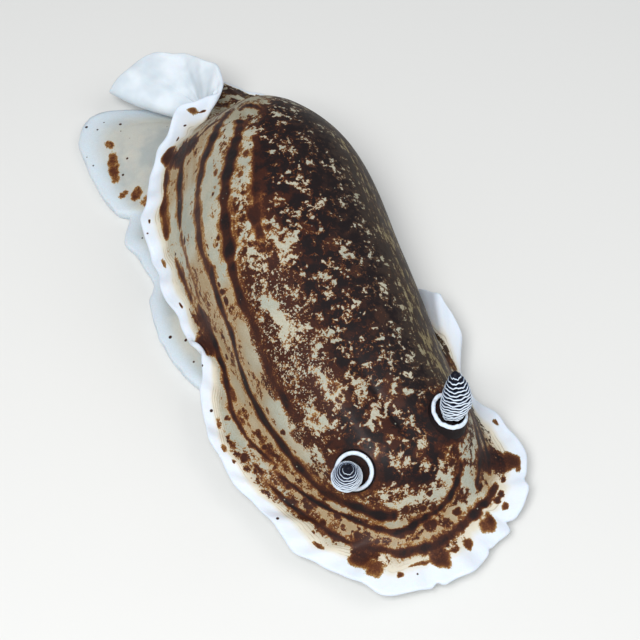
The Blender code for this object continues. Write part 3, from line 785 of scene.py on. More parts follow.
def mantle_material():
    mat, tree, shader = flesh_material("mantle_skin")
    place = object_place(tree)
    edge = times(tree, attribute(tree, "edge_mm"), EDGE_UNIT)
    tone = between(tree, noise(tree, place, *MANTLE_TONE), -0.12, 0.12)
    pale = mixed(tree, tone, PALE, GREY_PALE)
    # Pale ground turned tan on the far side and rear: painted shade
    pale = mixed(tree, attribute(tree, "far_side_shade"), pale, TAN)
    pale = mixed(tree, attribute(tree, "wash"), pale, WASH)
    pale = placed_group(tree, "margin", {"Edge": edge, "Inner": pale})["Color"]
    inputs = {
        "Ink": attribute(tree, "ink"),
        "Speckle": times(tree, attribute(tree, "speckle"), SPECKLE_UNIT),
        "Streak": times(tree, attribute(tree, "streak"), STREAK_UNIT),
        "Flow": attribute(tree, "flow", "Vector"),
        "Pale": pale,
        "Dust": times(tree, between(tree, edge, 1.6, 3.6), 0.32),
        "Grit": attribute(tree, "grit"),
        "Spots": attribute(tree, "spots"),
        # Painted shade of the far side and rear
        "Far Shade": attribute(tree, "far_shade"),
    }
    made = placed_group(tree, "pigment", inputs)
    lower = mixed(tree, between(tree, noise(tree, place, *UNDER_TONE), -0.2, 0.2), MILK, MILK_LIGHT)
    colour = mixed(tree, attribute(tree, "underside"), made["Color"], lower)
    dress(tree, shader, colour, 1.0, 1.0, 0.55)
    return mat


def foot_material():
    mat, tree, shader = flesh_material("foot_skin", subsurface=0.35)
    place = object_place(tree)
    rim = between(tree, attribute(tree, "edge_share"), 0.03, 0.22)
    tone = between(tree, noise(tree, place, *FOOT_TONE), -0.14, 0.14)
    pale = mixed(tree, rim, FOOT_RIM, mixed(tree, tone, FOOT_GREY, FOOT_CREAM))
    inputs = {"Ink": attribute(tree, "ink"), "Speckle": 0.8, "Pale": pale}
    dress(tree, shader, placed_group(tree, "pigment", inputs)["Color"], 1.0, 0.6, 0.45)
    return mat


def leaf_material():
    """Thin white-edged leaves over blue-black grooves."""
    mat, tree, shader = flesh_material("rhinophore_skin", subsurface=0.08)
    place = object_place(tree)
    uneven = times(tree, noise(tree, place, *LEAF_TONE), 0.06)
    edge = plus(tree, attribute(tree, "leaf_edge"), uneven)
    stops = ((0.0, GROOVE_BLACK), (0.88, GROOVE_BLUE), (0.955, LEAF_BLUE), (0.982, LEAF_WHITE))
    dress(tree, shader, ramp(tree, edge, stops), 0.3, 0.6, 0.3)
    return mat


def collar_material(name, inner, white):
    """Dark wall with a white upper edge."""
    mat, tree, shader = flesh_material(name)
    place = object_place(tree)
    rim = plus(tree, attribute(tree, "rim_share"), times(tree, noise(tree, place, *RIM_TONE), 0.12))
    stops = ((0.0, SOOT), (0.30, inner), (0.48, inner), (0.56, white), (1.0, white))
    colour = ramp(tree, rim, stops)
    specks = dots(tree, place, *COLLAR_DOTS)
    colour = mixed(tree, times(tree, specks, 0.6), colour, COLLAR_SPECK)
    dress(tree, shader, colour, 0.6, 0.8, 0.5)
    return mat


def soft_material(name, first, second, spotted):
    """Pale soft flesh with a slow change of colour and a few brown spots."""
    mat, tree, shader = flesh_material(name, subsurface=0.35)
    place = object_place(tree)
    colour = mixed(tree, between(tree, noise(tree, place, *HEAD_TONE), -0.15, 0.15), first, second)
    colour = mixed(tree, dots(tree, place, FLESH_DOTS, spotted, FLESH_DOT_SIZE), colour, RUST)
    dress(tree, shader, colour, 1.0, 1.0, 0.45)
    return mat


# Meshes


def in_scene(name, data):
    obj = bpy.data.objects.new(name, data)
    bpy.context.scene.collection.objects.link(obj)
    return obj


def mesh_object(name, points, faces, mat, attributes=None, welded=False, placed=True):
    """Smooth closed mesh from points in millimetres."""
    mesh = bpy.data.meshes.new(name)
    points = (points + SHIFT) * MM if placed else points
    mesh.from_pydata(points.tolist(), [], faces.tolist())
    for label, values in (attributes or {}).items():
        kind, key = ("FLOAT_VECTOR", "vector") if np.ndim(values) == 2 else ("FLOAT", "value")
        layer = mesh.attributes.new(label, kind, "POINT")
        layer.data.foreach_set(key, np.asarray(values, float).ravel())
    if welded:
        bm = bmesh.new()
        bm.from_mesh(mesh)
        bmesh.ops.remove_doubles(bm, verts=bm.verts, dist=1.0e-7 if placed else 1.0e-4)
        bmesh.ops.dissolve_degenerate(bm, edges=bm.edges, dist=1.0e-8)
        bmesh.ops.recalc_face_normals(bm, faces=bm.faces)
        bm.to_mesh(mesh)
        bm.free()
    mesh.materials.append(mat)
    mesh.shade_smooth()
    return in_scene(name, mesh)


def form(name, shape, mat, label, values):
    """Closed form at its own origin, in millimetres, with one value for each of its points."""
    points, faces = shape
    layers = {label: np.broadcast_to(values, len(points))}
    return mesh_object(name, points, faces, mat, layers, welded=True, placed=False)


def shell(rows, count):
    """Index table and faces of a closed shell whose first and last rows fold onto a line."""
    half = count // 2
    column = np.arange(count)
    folded = np.minimum(column, count - column)
    index = np.empty((rows, count), int)
    index[0] = folded
    for row in range(1, rows - 1):
        index[row] = half + 1 + (row - 1) * count + column
    index[-1] = half + 1 + (rows - 2) * count + folded
    after = np.roll(index, -1, axis=1)
    faces = np.stack([index[:-1], index[1:], after[1:], after[:-1]], -1).reshape(-1, 4)
    return index, faces[:, ::-1]


def flat_points(grid, index):
    """Point list of a row and column grid by its index table."""
    points = np.zeros((index.max() + 1,) + grid.shape[2:])
    points[index.ravel()] = grid.reshape((-1,) + grid.shape[2:])
    return points


def skin_object(name, grid, mat, fields):
    """Closed skin over a grid of rows and columns, with the fields' values at its places."""
    index, faces = shell(*grid.shape[:2])
    fields = {label: flat_points(values, index) for label, values in fields.items()}
    return mesh_object(name, flat_points(grid, index), faces, mat, fields)


def marks(places, table, reach_scale=1.0):
    """Strongest of soft oval marks. Each: angle, r, half length, half width, turn, strength."""
    field = np.zeros(places.shape[:-1])
    for angle, r, long, wide, turn, strength in table:
        phi = np.array(math.radians(angle))
        along, across = (unit(v) for v in slopes(phi, np.array(r)))
        across = unit(across - along * (across @ along))
        c = math.cos(math.radians(turn))
        s = math.sin(math.radians(turn))
        gap = places - top(phi, np.array(r))
        u = gap @ (along * c + across * s) / long
        v = gap @ (across * c - along * s) / wide
        depth = gap @ np.cross(along, across) / max(long, wide, 2.0)
        bearing = np.arctan2(v, u) + angle
        wobble = 1.0 + 0.10 * np.sin(3.0 * bearing) + 0.08 * np.sin(5.0 * bearing + 1.0)
        reach = np.sqrt(u * u + v * v + depth * depth) * reach_scale * wobble
        field = np.maximum(field, strength * (1.0 - smooth(reach - 0.35)))
    return field


def lines(phi, r, span, table):
    """Long stripes along the body. Each: half width, strength, knots of angle and r."""
    field = np.zeros(phi.shape)
    degrees = np.degrees(np.mod(phi, TURN))
    for number, (half, strength, knots) in enumerate(table):
        keys = np.array(knots, float)
        beat = np.sin(0.50 * degrees + 2.1 * number) * np.sin(0.31 * degrees + 1.3 * number)
        angle = np.where(degrees > keys[-1, 0] + 40.0, degrees - 360.0, degrees)
        course = np.interp(angle, keys[:, 0], keys[:, 1])
        fade = smooth((angle - keys[0, 0]) / STRIPE_FADE + 0.5)
        fade = fade * smooth((keys[-1, 0] - angle) / STRIPE_FADE + 0.5)
        away = np.abs(r - course) * span / (half * (1.0 + 0.3 * beat))
        core = strength * (1.0 + 0.16 * beat) * (1.0 - smooth((away - 0.3) / 1.0))
        shoulder = SHOULDER * (1.0 - smooth((away - 0.9) / 1.5))
        field = np.maximum(field, fade * np.maximum(core, shoulder))
    return field


# Ink of the soft orange edges of a stripe, and degrees over which its ends fade
SHOULDER = 0.50
STRIPE_FADE = 5.0

# Brown stripes: half width in mm, strength, knots of angle and r
STRIPES = (
    (0.55, 0.72, ((118, 0.86), (124, 0.86), (130, 0.88), (136, 0.88), (145, 0.93))),
    (0.70, 0.95, ((118, 0.71), (124, 0.72), (130, 0.74), (137, 0.74), (141, 0.71))),
    (0.42, 0.85, ((139, 0.66), (143, 0.58), (147, 0.50), (151, 0.45), (154, 0.40), (157, 0.33))),
    (0.45, 0.60, ((96, 0.72), (103, 0.67), (110, 0.67), (118, 0.71))),
    (0.60, 0.95, ((56, 0.83), (61, 0.87), (66, 0.885), (72, 0.88), (82, 0.84), (91, 0.78),
        (99, 0.74))),
    (0.62, 0.78, ((97, 0.515), (104, 0.515), (111, 0.49), (118, 0.495), (124, 0.495))),
    (0.75, 0.95, ((121, 0.495), (131, 0.47), (140, 0.38), (149, 0.34), (157, 0.30), (168, 0.28))),
    (0.62, 1.0, ((54, 0.746), (62, 0.732), (67, 0.729), (73, 0.72), (78, 0.675), (83, 0.60),
        (91, 0.555), (99, 0.50))),
    (0.70, 1.0, ((24, 0.676), (34, 0.70), (39, 0.70), (45, 0.73), (50, 0.746), (58, 0.743))),
    (0.85, 1.0, ((95, 0.36), (104, 0.31), (110, 0.29), (119, 0.264), (128, 0.224), (139, 0.16),
        (147, 0.13), (155, 0.12))),
    (0.62, 0.90, ((59, 0.53), (64, 0.503), (70, 0.49), (78, 0.43), (86, 0.42), (96, 0.36))),
    (0.60, 0.90, ((96, 0.16), (111, 0.10), (121, 0.06), (140, 0.03))),
    (0.48, 1.0, ((-28, 0.54), (-16, 0.62), (-10, 0.67), (0, 0.718), (9, 0.727), (18, 0.75),
        (23, 0.773), (33, 0.762), (41, 0.77), (48, 0.81), (54, 0.84))),
    (0.55, 0.92, ((-33, 0.83), (-18, 0.826), (-8, 0.839), (0, 0.843), (8, 0.853), (16, 0.847),
        (24, 0.851), (34, 0.868), (41, 0.888), (49, 0.892))),
    (0.40, 0.70, ((100, 0.80), (107, 0.80), (114, 0.83))),
    (0.50, 0.85, ((158, 0.62), (166, 0.56), (176, 0.52), (190, 0.50))),
    (0.55, 0.90, ((162, 0.44), (172, 0.40), (186, 0.36), (200, 0.34))),
    (0.45, 0.90, ((168, 0.14), (177, 0.125), (186, 0.12), (198, 0.12), (212, 0.12))),
    (0.50, 0.95, ((300, 0.62), (310, 0.66), (318, 0.67), (326, 0.68), (334, 0.72))),
    (0.45, 0.95, ((300, 0.74), (310, 0.76), (318, 0.77), (326, 0.78))),
)

# Orange-brown wash between stripes: half width in mm, strength, knots of angle and r
WASHES = (
    (1.7, 0.54, ((60, 0.82), (70, 0.81), (80, 0.74), (90, 0.70), (99, 0.66), (106, 0.60))),
    (1.3, 0.53, ((66, 0.58), (76, 0.62), (84, 0.52), (92, 0.47))),
    (1.4, 0.50, ((34, 0.81), (42, 0.83), (50, 0.80), (58, 0.79), (66, 0.81))),
    (1.2, 0.49, ((126, 0.62), (134, 0.62), (142, 0.55), (150, 0.50))),
    (1.0, 0.49, ((126, 0.80), (134, 0.82), (140, 0.84))),
    (1.1, 0.49, ((-14, 0.76), (0, 0.79), (12, 0.79), (24, 0.80), (36, 0.80))),
    (1.3, 0.50, ((-52, 0.80), (-44, 0.79), (-36, 0.76), (-28, 0.74))),
    (1.2, 0.47, ((150, 0.72), (164, 0.66), (180, 0.60), (200, 0.58))),
)

# Large dark smudges: angle, r, half length, half width, turn, strength
SMUDGES = (
    (140.5, 0.78, 2.0, 2.6, 0, 0.98),
    (142.3, 0.895, 1.5, 1.2, 0, 0.92),
    (142, 0.64, 1.6, 1.8, 0, 0.95),
    (93, 0.79, 3.2, 1.5, 0, 0.82),
    (88, 0.88, 2.4, 1.5, 0, 0.86),
    (27.5, 0.88, 1.7, 2.1, 0, 0.84),
    (23.5, 0.93, 1.2, 1.5, 0, 0.62),
    (7.7, 0.885, 1.15, 2.0, 0, 0.80),
    (344.1, 0.906, 1.5, 1.1, 30, 0.60),
    (320.8, 0.83, 1.7, 1.9, 0, 0.98),
    (322.8, 0.91, 1.15, 1.5, 0, 0.80),
    (321.5, 0.71, 1.5, 1.8, 0, 0.98),
    (103.7, 0.146, 1.5, 0.9, 0, 0.95),
    (88, 0.15, 1.4, 1.0, 0, 0.92),
    (64, 0.26, 1.6, 0.8, 0, 0.85),
    (297.4, 0.80, 1.5, 0.8, 0, 0.62),
    (65.4, 0.856, 1.0, 0.9, 0, 0.58),
    (57.2, 0.835, 1.2, 0.9, 0, 0.58),
    (49.6, 0.877, 1.2, 1.0, 0, 0.58),
    (41.8, 0.53, 2.9, 2.9, 0, 1.05),
    (320.2, 0.406, 3.3, 3.3, 0, 1.1),
    (324.4, 0.962, 0.85, 1.0, 0, 0.60),
)

# Dark spots, in the same way
BLOTS = (
    (342.5, 0.90, 0.7, 0.5, 30, 0.78),
    (356.5, 0.907, 0.7, 0.8, 0, 0.66),
    (2, 0.895, 0.7, 0.4, 0, 0.70),
    (326.6, 0.868, 0.45, 0.4, 0, 0.85),
    (331.1, 0.872, 0.45, 0.4, 0, 0.90),
    (333.4, 0.869, 0.50, 0.4, 0, 0.95),
    (334.8, 0.919, 0.55, 0.5, 0, 0.66),
    (331.6, 0.745, 0.60, 0.5, 0, 0.95),
    (19.4, 0.926, 0.45, 0.45, 0, 0.68),
    (14, 0.90, 1.6, 0.30, 0, 0.62),
    (32.9, 0.929, 1.0, 0.32, 0, 0.66),
    (315.6, 0.954, 0.60, 0.50, 0, 0.56),
    (157.3, 0.955, 0.70, 1.6, 0, 0.56),
    (160, 0.90, 0.45, 0.20, 0, 0.80),
    (170, 0.91, 0.25, 0.22, 0, 0.80),
    (148, 0.87, 0.35, 0.30, 0, 0.80),
    (114.3, 0.93, 0.90, 0.45, 0, 0.52),
    (124.7, 0.956, 0.30, 0.22, 0, 0.85),
    (102.3, 0.93, 0.45, 0.25, 0, 0.80),
    (50.9, 0.965, 0.30, 0.25, 0, 0.85),
    (49.8, 0.945, 0.22, 0.20, 0, 0.85),
    (53.8, 0.966, 0.60, 0.50, 0, 0.56),
    (50.7, 0.931, 0.50, 0.42, 0, 0.80),
    (52, 0.895, 0.90, 0.42, 0, 0.85),
    (56.1, 0.933, 0.80, 0.34, 0, 0.74),
    (60.3, 0.95, 0.90, 0.38, 0, 0.60),
    (102.8, 0.378, 0.40, 0.30, 0, 0.85),
    (116.4, 0.359, 0.30, 0.25, 0, 0.85),
    (124, 0.34, 0.80, 0.50, 0, 0.62),
    (128, 0.12, 0.80, 0.55, 0, 0.66),
    (119, 0.17, 0.55, 0.50, 0, 0.64),
    (112, 0.17, 0.40, 0.40, 0, 0.80),
    (54, 0.16, 0.70, 0.60, 0, 0.85),
    (71, 0.60, 0.5, 0.35, 0, 0.70),
    (66, 0.66, 0.5, 0.35, 0, 0.70),
    (70.9, 0.857, 1.2, 0.5, 0, 0.66),
    (63.6, 0.81, 0.6, 0.5, 0, 0.85),
    (62.0, 0.811, 0.8, 0.6, 0, 0.66),
    (58.8, 0.872, 0.5, 0.4, 0, 0.7),
    (55.7, 0.796, 0.9, 0.6, 0, 0.66),
    (48.0, 0.904, 0.8, 0.7, 0, 0.56),
    (51.7, 0.843, 1.0, 0.5, 0, 0.8),
    (44.5, 0.876, 0.9, 0.8, 0, 0.85),
    (40.2, 0.894, 0.9, 0.7, 0, 0.8),
    (41.2, 0.857, 0.8, 0.7, 0, 0.66),
    (47.3, 0.808, 1.3, 0.5, 0, 0.85),
    (45.9, 0.789, 0.8, 0.5, 0, 0.85),
    (38.1, 0.846, 0.9, 0.8, 0, 0.58),
    (50.4, 0.821, 0.6, 0.5, 0, 0.66),
    (53.8, 0.233, 0.8, 0.7, 0, 0.7),
    (52.5, 0.302, 0.35, 0.3, 0, 0.9),
    (54.9, 0.443, 0.9, 0.7, 0, 0.6),
    (57.8, 0.616, 0.9, 0.7, 0, 0.66),
    (23.0, 0.57, 0.6, 0.5, 0, 0.85),
    (20.1, 0.648, 0.6, 0.5, 0, 0.85),
    (1.8, 0.682, 0.6, 0.6, 0, 0.9),
    (17.8, 0.763, 0.8, 0.7, 0, 0.85),
    (6.4, 0.771, 0.9, 0.8, 0, 0.85),
    (357.6, 0.795, 0.7, 0.6, 0, 0.8),
    (25.2, 0.814, 0.6, 0.5, 0, 0.8),
    (20.5, 0.85, 0.8, 0.4, 0, 0.75),
)

# Pale patches: angle, r, half length, half width, turn, strength
PATCHES = (
    (123, 0.38, 3.6, 0.85, 0, 0.9),
    (111, 0.395, 4.4, 0.95, 0, 1.0),
    (101, 0.43, 3.0, 0.75, 0, 0.9),
    (128, 0.60, 3.0, 0.60, 0, 0.9),
    (118, 0.61, 4.2, 0.75, 0, 1.0),
    (108, 0.59, 2.4, 0.60, 0, 0.9),
    (123, 0.79, 2.8, 0.55, 0, 0.9),
    (148, 0.22, 2.0, 0.60, 0, 0.8),
    (160, 0.17, 1.6, 0.60, 0, 0.9),
    (144, 0.06, 0.9, 0.80, 0, 0.9),
    (190, 0.03, 1.3, 0.60, 0, 0.9),
    (197, 0.25, 1.5, 0.50, 0, 0.9),
    (212, 0.91, 1.1, 0.45, 0, 0.9),
    (136, 0.076, 2.0, 0.80, 0, 0.8),
    (127, 0.14, 1.9, 0.90, 0, 0.8),
    (118, 0.14, 1.2, 0.80, 0, 0.7),
    (107.7, 0.01, 0.9, 0.8, 0, 0.9),
    (94, 0.06, 2.2, 1.1, 0, 0.9),
    (89, 0.10, 0.9, 1.4, 0, 0.7),
    (264.6, 0.04, 0.8, 0.5, 30, 0.9),
    (272, 0.11, 0.7, 0.6, 0, 0.9),
    (281.4, 0.155, 0.7, 0.5, 0, 0.8),
    (286.8, 0.27, 0.8, 0.4, 0, 0.8),
    (293.5, 0.20, 0.8, 0.5, 0, 0.8),
    (297.4, 0.27, 0.6, 0.4, 0, 0.8),
    (322.5, 0.10, 1.1, 0.7, 20, 0.95),
    (44.9, 0.077, 0.9, 0.7, 0, 0.95),
    (34.5, 0.094, 0.5, 1.4, 20, 0.8),
    (77.8, 0.27, 2.4, 0.70, 0, 0.95),
    (71, 0.29, 1.2, 0.60, 0, 0.9),
    (53.9, 0.243, 2.0, 1.0, 0, 0.95),
    (54.5, 0.445, 1.3, 1.0, 0, 0.9),
    (63.8, 0.61, 2.3, 1.2, 0, 1.0),
    (56.5, 0.67, 2.4, 0.8, 0, 1.0),
    (52.5, 0.60, 1.2, 0.7, 0, 0.8),
    (75.1, 0.55, 2.0, 0.9, 0, 1.0),
    (80, 0.51, 1.6, 0.6, 0, 0.8),
    (74, 0.80, 1.8, 0.50, 0, 0.8),
    (66, 0.80, 1.2, 0.45, 0, 0.8),
    (31.8, 0.73, 3.2, 0.50, 0, 1.0),
    (44, 0.75, 1.8, 0.35, 0, 0.8),
    (349.1, 0.775, 1.2, 0.6, 0, 0.8),
    (338, 0.785, 0.8, 0.6, 0, 0.6),
    (335, 0.655, 0.7, 1.2, 20, 0.8),
    (315.4, 0.637, 2.4, 0.40, 0, 0.9),
    (322, 0.615, 1.4, 0.40, 0, 0.9),
    (327.4, 0.52, 1.3, 0.40, 0, 0.8),
    (338.1, 0.45, 1.4, 0.45, 30, 0.8),
    (24, 0.195, 0.5, 0.8, 0, 0.8),
    (352, 0.257, 0.7, 0.35, 0, 0.7),
    (320.8, 0.103, 1.3, 0.9, 0, 0.9),
    (22.7, 0.201, 0.9, 0.7, 0, 0.8),
    (29.7, 0.146, 0.5, 0.9, 0, 0.8),
    (19.8, 0.34, 0.8, 0.7, 0, 0.8),
    (356.2, 0.292, 0.6, 0.4, 0, 0.8),
    (347.4, 0.266, 0.5, 0.4, 0, 0.7),
    (41.6, 0.09, 0.7, 0.6, 0, 0.8),
    (336.1, 0.435, 0.4, 1.3, 0, 0.9),
    (328.1, 0.524, 0.45, 1.4, 0, 0.9),
    (342.5, 0.456, 0.6, 0.5, 0, 0.7),
    (354.9, 0.366, 0.5, 0.5, 0, 0.8),
    (1.2, 0.6, 0.8, 0.6, 0, 0.8),
    (348.8, 0.606, 0.6, 0.7, 0, 0.8),
    (348.5, 0.764, 1.1, 0.6, 0, 0.9),
    (2.2, 0.701, 0.8, 0.7, 0, 0.9),
    (24.9, 0.618, 1.0, 0.5, 0, 0.9),
    (32.8, 0.336, 0.5, 0.8, 0, 0.7),
    (334.8, 0.689, 0.6, 0.8, 0, 0.8),
    (15.6, 0.574, 0.5, 0.5, 0, 0.8),
    (29.3, 0.706, 0.9, 0.4, 0, 0.8),
    (10, 0.82, 1.4, 0.45, 0, 0.6),
    (20, 0.82, 1.2, 0.45, 0, 0.6),
)


def blend(field, value, share):
    """Field drawn towards a value, by a share."""
    return field * (1.0 - share) + value * share


def sector(degrees, start, rise, stop, fall):
    """1 between two angles, with soft ends of their own widths."""
    return smooth((degrees - start) / rise) * smooth((stop - degrees) / fall)


def margin_scale(degrees):
    """How much narrower the white margin is than at the head; wider only at the far bulge."""
    turned_front = np.minimum(degrees, 360.0 - degrees)
    scale = 1.0 + 0.45 * smooth((turned_front - 44.0) / 14.0) * smooth((150.0 - degrees) / 10.0)
    scale = scale + sector(degrees, *NARROW_MARGIN)
    scale = scale + 2.0 * sector(degrees, *REAR_LEFT_MARGIN)
    return blend(scale, 0.42, sector(degrees, *BULGE))


# Sectors of the body, in degrees: where one starts, over how much, where it ends, over how much
NARROW_MARGIN = (76.0, 8.0, 104.0, 8.0)
REAR_LEFT_MARGIN = (192.0, 8.0, 262.0, 14.0)
BULGE = (284.0, 6.0, 306.0, 5.0)
NEAR_SIDE = (38.0, 26.0, 180.0, 24.0)
FRONT_NEAR = (12.0, 16.0, 104.0, 12.0)
CURLED_WALL = (145.0, 5.0, 190.0, 8.0)
REAR = (146.0, 14.0, 218.0, 12.0)
FAR_SIDE = (212.0, 16.0, 318.0, 16.0)
# Side turned away from the light, where shade is painted
SHADED_SIDE = (196.0, 34.0, 332.0, 20.0)

# Ink of each zone, and how strongly it is mottled there
RIDGE_TONE = (1.02, 6.8)
MIDDLE_TONE = (0.76, 3.8)
INNER_TONE = (0.44, 4.2)
FLANK_TONE = (0.17, 2.1)
FAR_TONE = (0.66, 1.4)
REAR_TONE = (0.45, 1.9)
FRONT_GAIN = 4.4
WALL_INK = 0.12

# Where the pale flank begins on the near side, and the curled wall at the rear: angles and r
FLANK_ANGLES = (40, 62, 76, 92, 112, 150)
FLANK_TOP = (0.70, 0.60, 0.46, 0.33, 0.28, 0.24)
WALL_ANGLES = (146, 157, 166)
WALL_FOOT = (0.62, 0.66, 0.80)

# Ink round the front, from the forehead out to the margin
FRONT_R = (0.50, 0.62, 0.73, 0.77, 0.84, 0.88, 0.94)
FRONT_INK = (0.76, 0.62, 0.58, 0.36, 0.38, 0.20, 0.05)


def ink_fields(phi, r, places, span, edge_mm):
    """How much brown each place of the mantle's upper face has, how it breaks up, and where shade
    is painted on the far side and rear.
    """
    degrees = np.degrees(np.mod(phi, TURN))
    turned_front = np.minimum(degrees, 360.0 - degrees)
    near = sector(degrees, *NEAR_SIDE)
    flank_top = np.interp(degrees, FLANK_ANGLES, FLANK_TOP)
    flank = near * smooth((r - flank_top) / 0.12)
    middle = near * smooth(r / 0.2)
    inner = near * smooth((degrees - 82.0) / 16.0) * smooth((r - 0.03) / 0.14)
    front = smooth((64.0 - turned_front) / 22.0) * smooth((r - 0.44) / 0.12) * (1.0 - flank)
    wall_foot = np.interp(degrees, WALL_ANGLES, WALL_FOOT)
    wall = sector(degrees, *CURLED_WALL) * smooth((r - wall_foot) / 0.06)
    far_flank = sector(degrees, *FAR_SIDE) * smooth((r - 0.24) / 0.20)
    rear = sector(degrees, *REAR) * smooth((r + 0.02) / 0.10)
    washes = lines(phi, r, span, WASHES)
    stripes = lines(phi, r, span, STRIPES)
    patches = marks(places, PATCHES)
    ink, gain = RIDGE_TONE
    for zone, tone in (
        (middle, MIDDLE_TONE),
        (inner, INNER_TONE),
        (flank, FLANK_TONE),
        (front, (np.interp(r, FRONT_R, FRONT_INK), FRONT_GAIN)),
        (far_flank, FAR_TONE),
        (rear, REAR_TONE),
    ):
        ink = blend(ink, tone[0], zone)
        gain = blend(gain, tone[1], zone)
    ink = np.maximum(ink, 0.80 * washes)
    ink = blend(ink, WALL_INK, wall)
    ink = ink - patches * 0.55 * smooth((ink - 0.2) / 0.3)
    ink = np.maximum(ink, stripes)
    clear = smooth((edge_mm - 1.7) / 1.1)
    ink = ink * clear
    within = smooth((edge_mm - 0.15) / 0.4)
    smudges = marks(places, SMUDGES, 1.05) * within
    blots = marks(places, BLOTS, 1.05) * within
    ink = np.maximum(ink, np.maximum(blots, smudges))
    halo = 1.0 - smooth((root_gap(places) - 1.7) / 1.3)
    calm = (1.0 - 0.80 * smooth(1.8 * stripes)) * (1.0 - 0.85 * smooth(2.0 * blots))
    calm = calm * (1.0 - 0.4 * smudges) * (1.0 - 0.8 * halo) * (1.0 - 0.85 * wall)
    speckle = gain * (0.08 + 0.92 * clear) * (1.0 - 0.45 * patches) * calm
    streak = blend(0.2, 0.9, np.maximum(flank, 0.7 * front))
    streak = blend(streak, 2.4, far_flank)
    streak = blend(streak, 1.2, rear)
    streak = blend(streak, 1.6, smudges * (1.0 - halo)) * clear * calm
    grit = 0.62 * middle * (1.0 - 0.8 * inner) * (1.0 - 0.75 * flank)
    grit = grit * smooth((150.0 - degrees) / 20.0)
    grit = blend(grit, 0.35, front) * (1.0 - halo) * (1.0 - stripes) * clear
    # Painted shade on the far side and rear: how far the browns turn olive-grey
    far_shade = sector(degrees, *SHADED_SIDE) * smooth((r - 0.02) / 0.36)
    far_shade = np.maximum(far_shade, 0.5 * rear) * (1.0 - stripes) * (1.0 - np.maximum(blots, smudges))
    front_near = sector(degrees, *FRONT_NEAR) * smooth((r - 0.62) / 0.10)
    front_far = smooth((24.0 - turned_front) / 10.0) * smooth((r - 0.50) / 0.10)
    spots = 0.85 * front_near + 0.60 * front_far * (1.0 - front_near)
    spots = spots + 0.16 * flank * (1.0 - front_near)
    spots = spots * smooth((edge_mm - 2.2) / 1.0) * (1.0 - 0.6 * patches) * (1.0 - wall)
    return {
        "wall": wall,
        "ink": ink,
        "speckle": speckle / SPECKLE_UNIT,
        "streak": streak / STREAK_UNIT,
        # Painted shade: pale ground turned tan on the far side and rear
        "far_side_shade": np.maximum(far_flank, 0.45 * rear * (1.0 - wall)),
        "grit": grit,
        "far_shade": far_shade,
        "spots": spots,
        "wash": np.clip(1.5 * washes, 0.0, 0.8) * (1.0 - 0.5 * patches) * clear,
    }


# Notches between the lobes of the margin: angle, depth in mm, half width in degrees
NOTCHES = (
    (327.5, 0.42, 1.1),
    (339.5, 0.62, 1.4),
    (10.5, 0.45, 1.0),
    (352.0, 0.22, 1.2),
    (303.0, 0.35, 0.9),
)


# Waves: height, how many round the form, shift
OUT_WAVES = ((0.16, 23.0, 0.7), (0.10, 41.0, 2.1), (0.05, 67.0, 0.0))
LIFT_WAVES = ((0.20, 19.0, 1.3), (0.12, 37.0, 0.2), (0.07, 71.0, 0.0))
FOOT_WAVES = ((0.12, 31.0, 0.0), (0.08, 53.0, 1.0))
LEAF_WAVES = ((0.055, 5.0, 0.0), (0.03, 11.0, 1.0))


def waves(run, table):
    return sum(high * np.sin(count * run + shift) for high, count, shift in table)


def way_round(phi, r, samples):
    """Way along the mantle's line at r, as an angle of even speed, and the line's length."""
    fine = np.linspace(0.0, TURN, samples)
    steps = np.linalg.norm(np.diff(top(fine, r), axis=0), axis=-1)
    length = np.concatenate([[0.0], np.cumsum(steps)])
    return np.interp(np.mod(phi, TURN), fine, length) / length[-1] * TURN, length[-1]


def ruffle(phi):
    """Small waves of the mantle's margin, outwards and up."""
    run = way_round(phi, 1.0, MARGIN_SAMPLES)[0]
    out = waves(run, OUT_WAVES)
    degrees = np.degrees(np.mod(phi, TURN))
    for angle, deep, wide in NOTCHES:
        out -= deep * np.exp(-(((degrees - angle) / wide) ** 2))
    return out, waves(run, LIFT_WAVES)


def mound(places):
    """Rise of the mantle round the feet of the rhinophores."""
    return MOUND_HIGH * np.exp(-((root_gap(places) / MOUND_WIDE) ** 2))


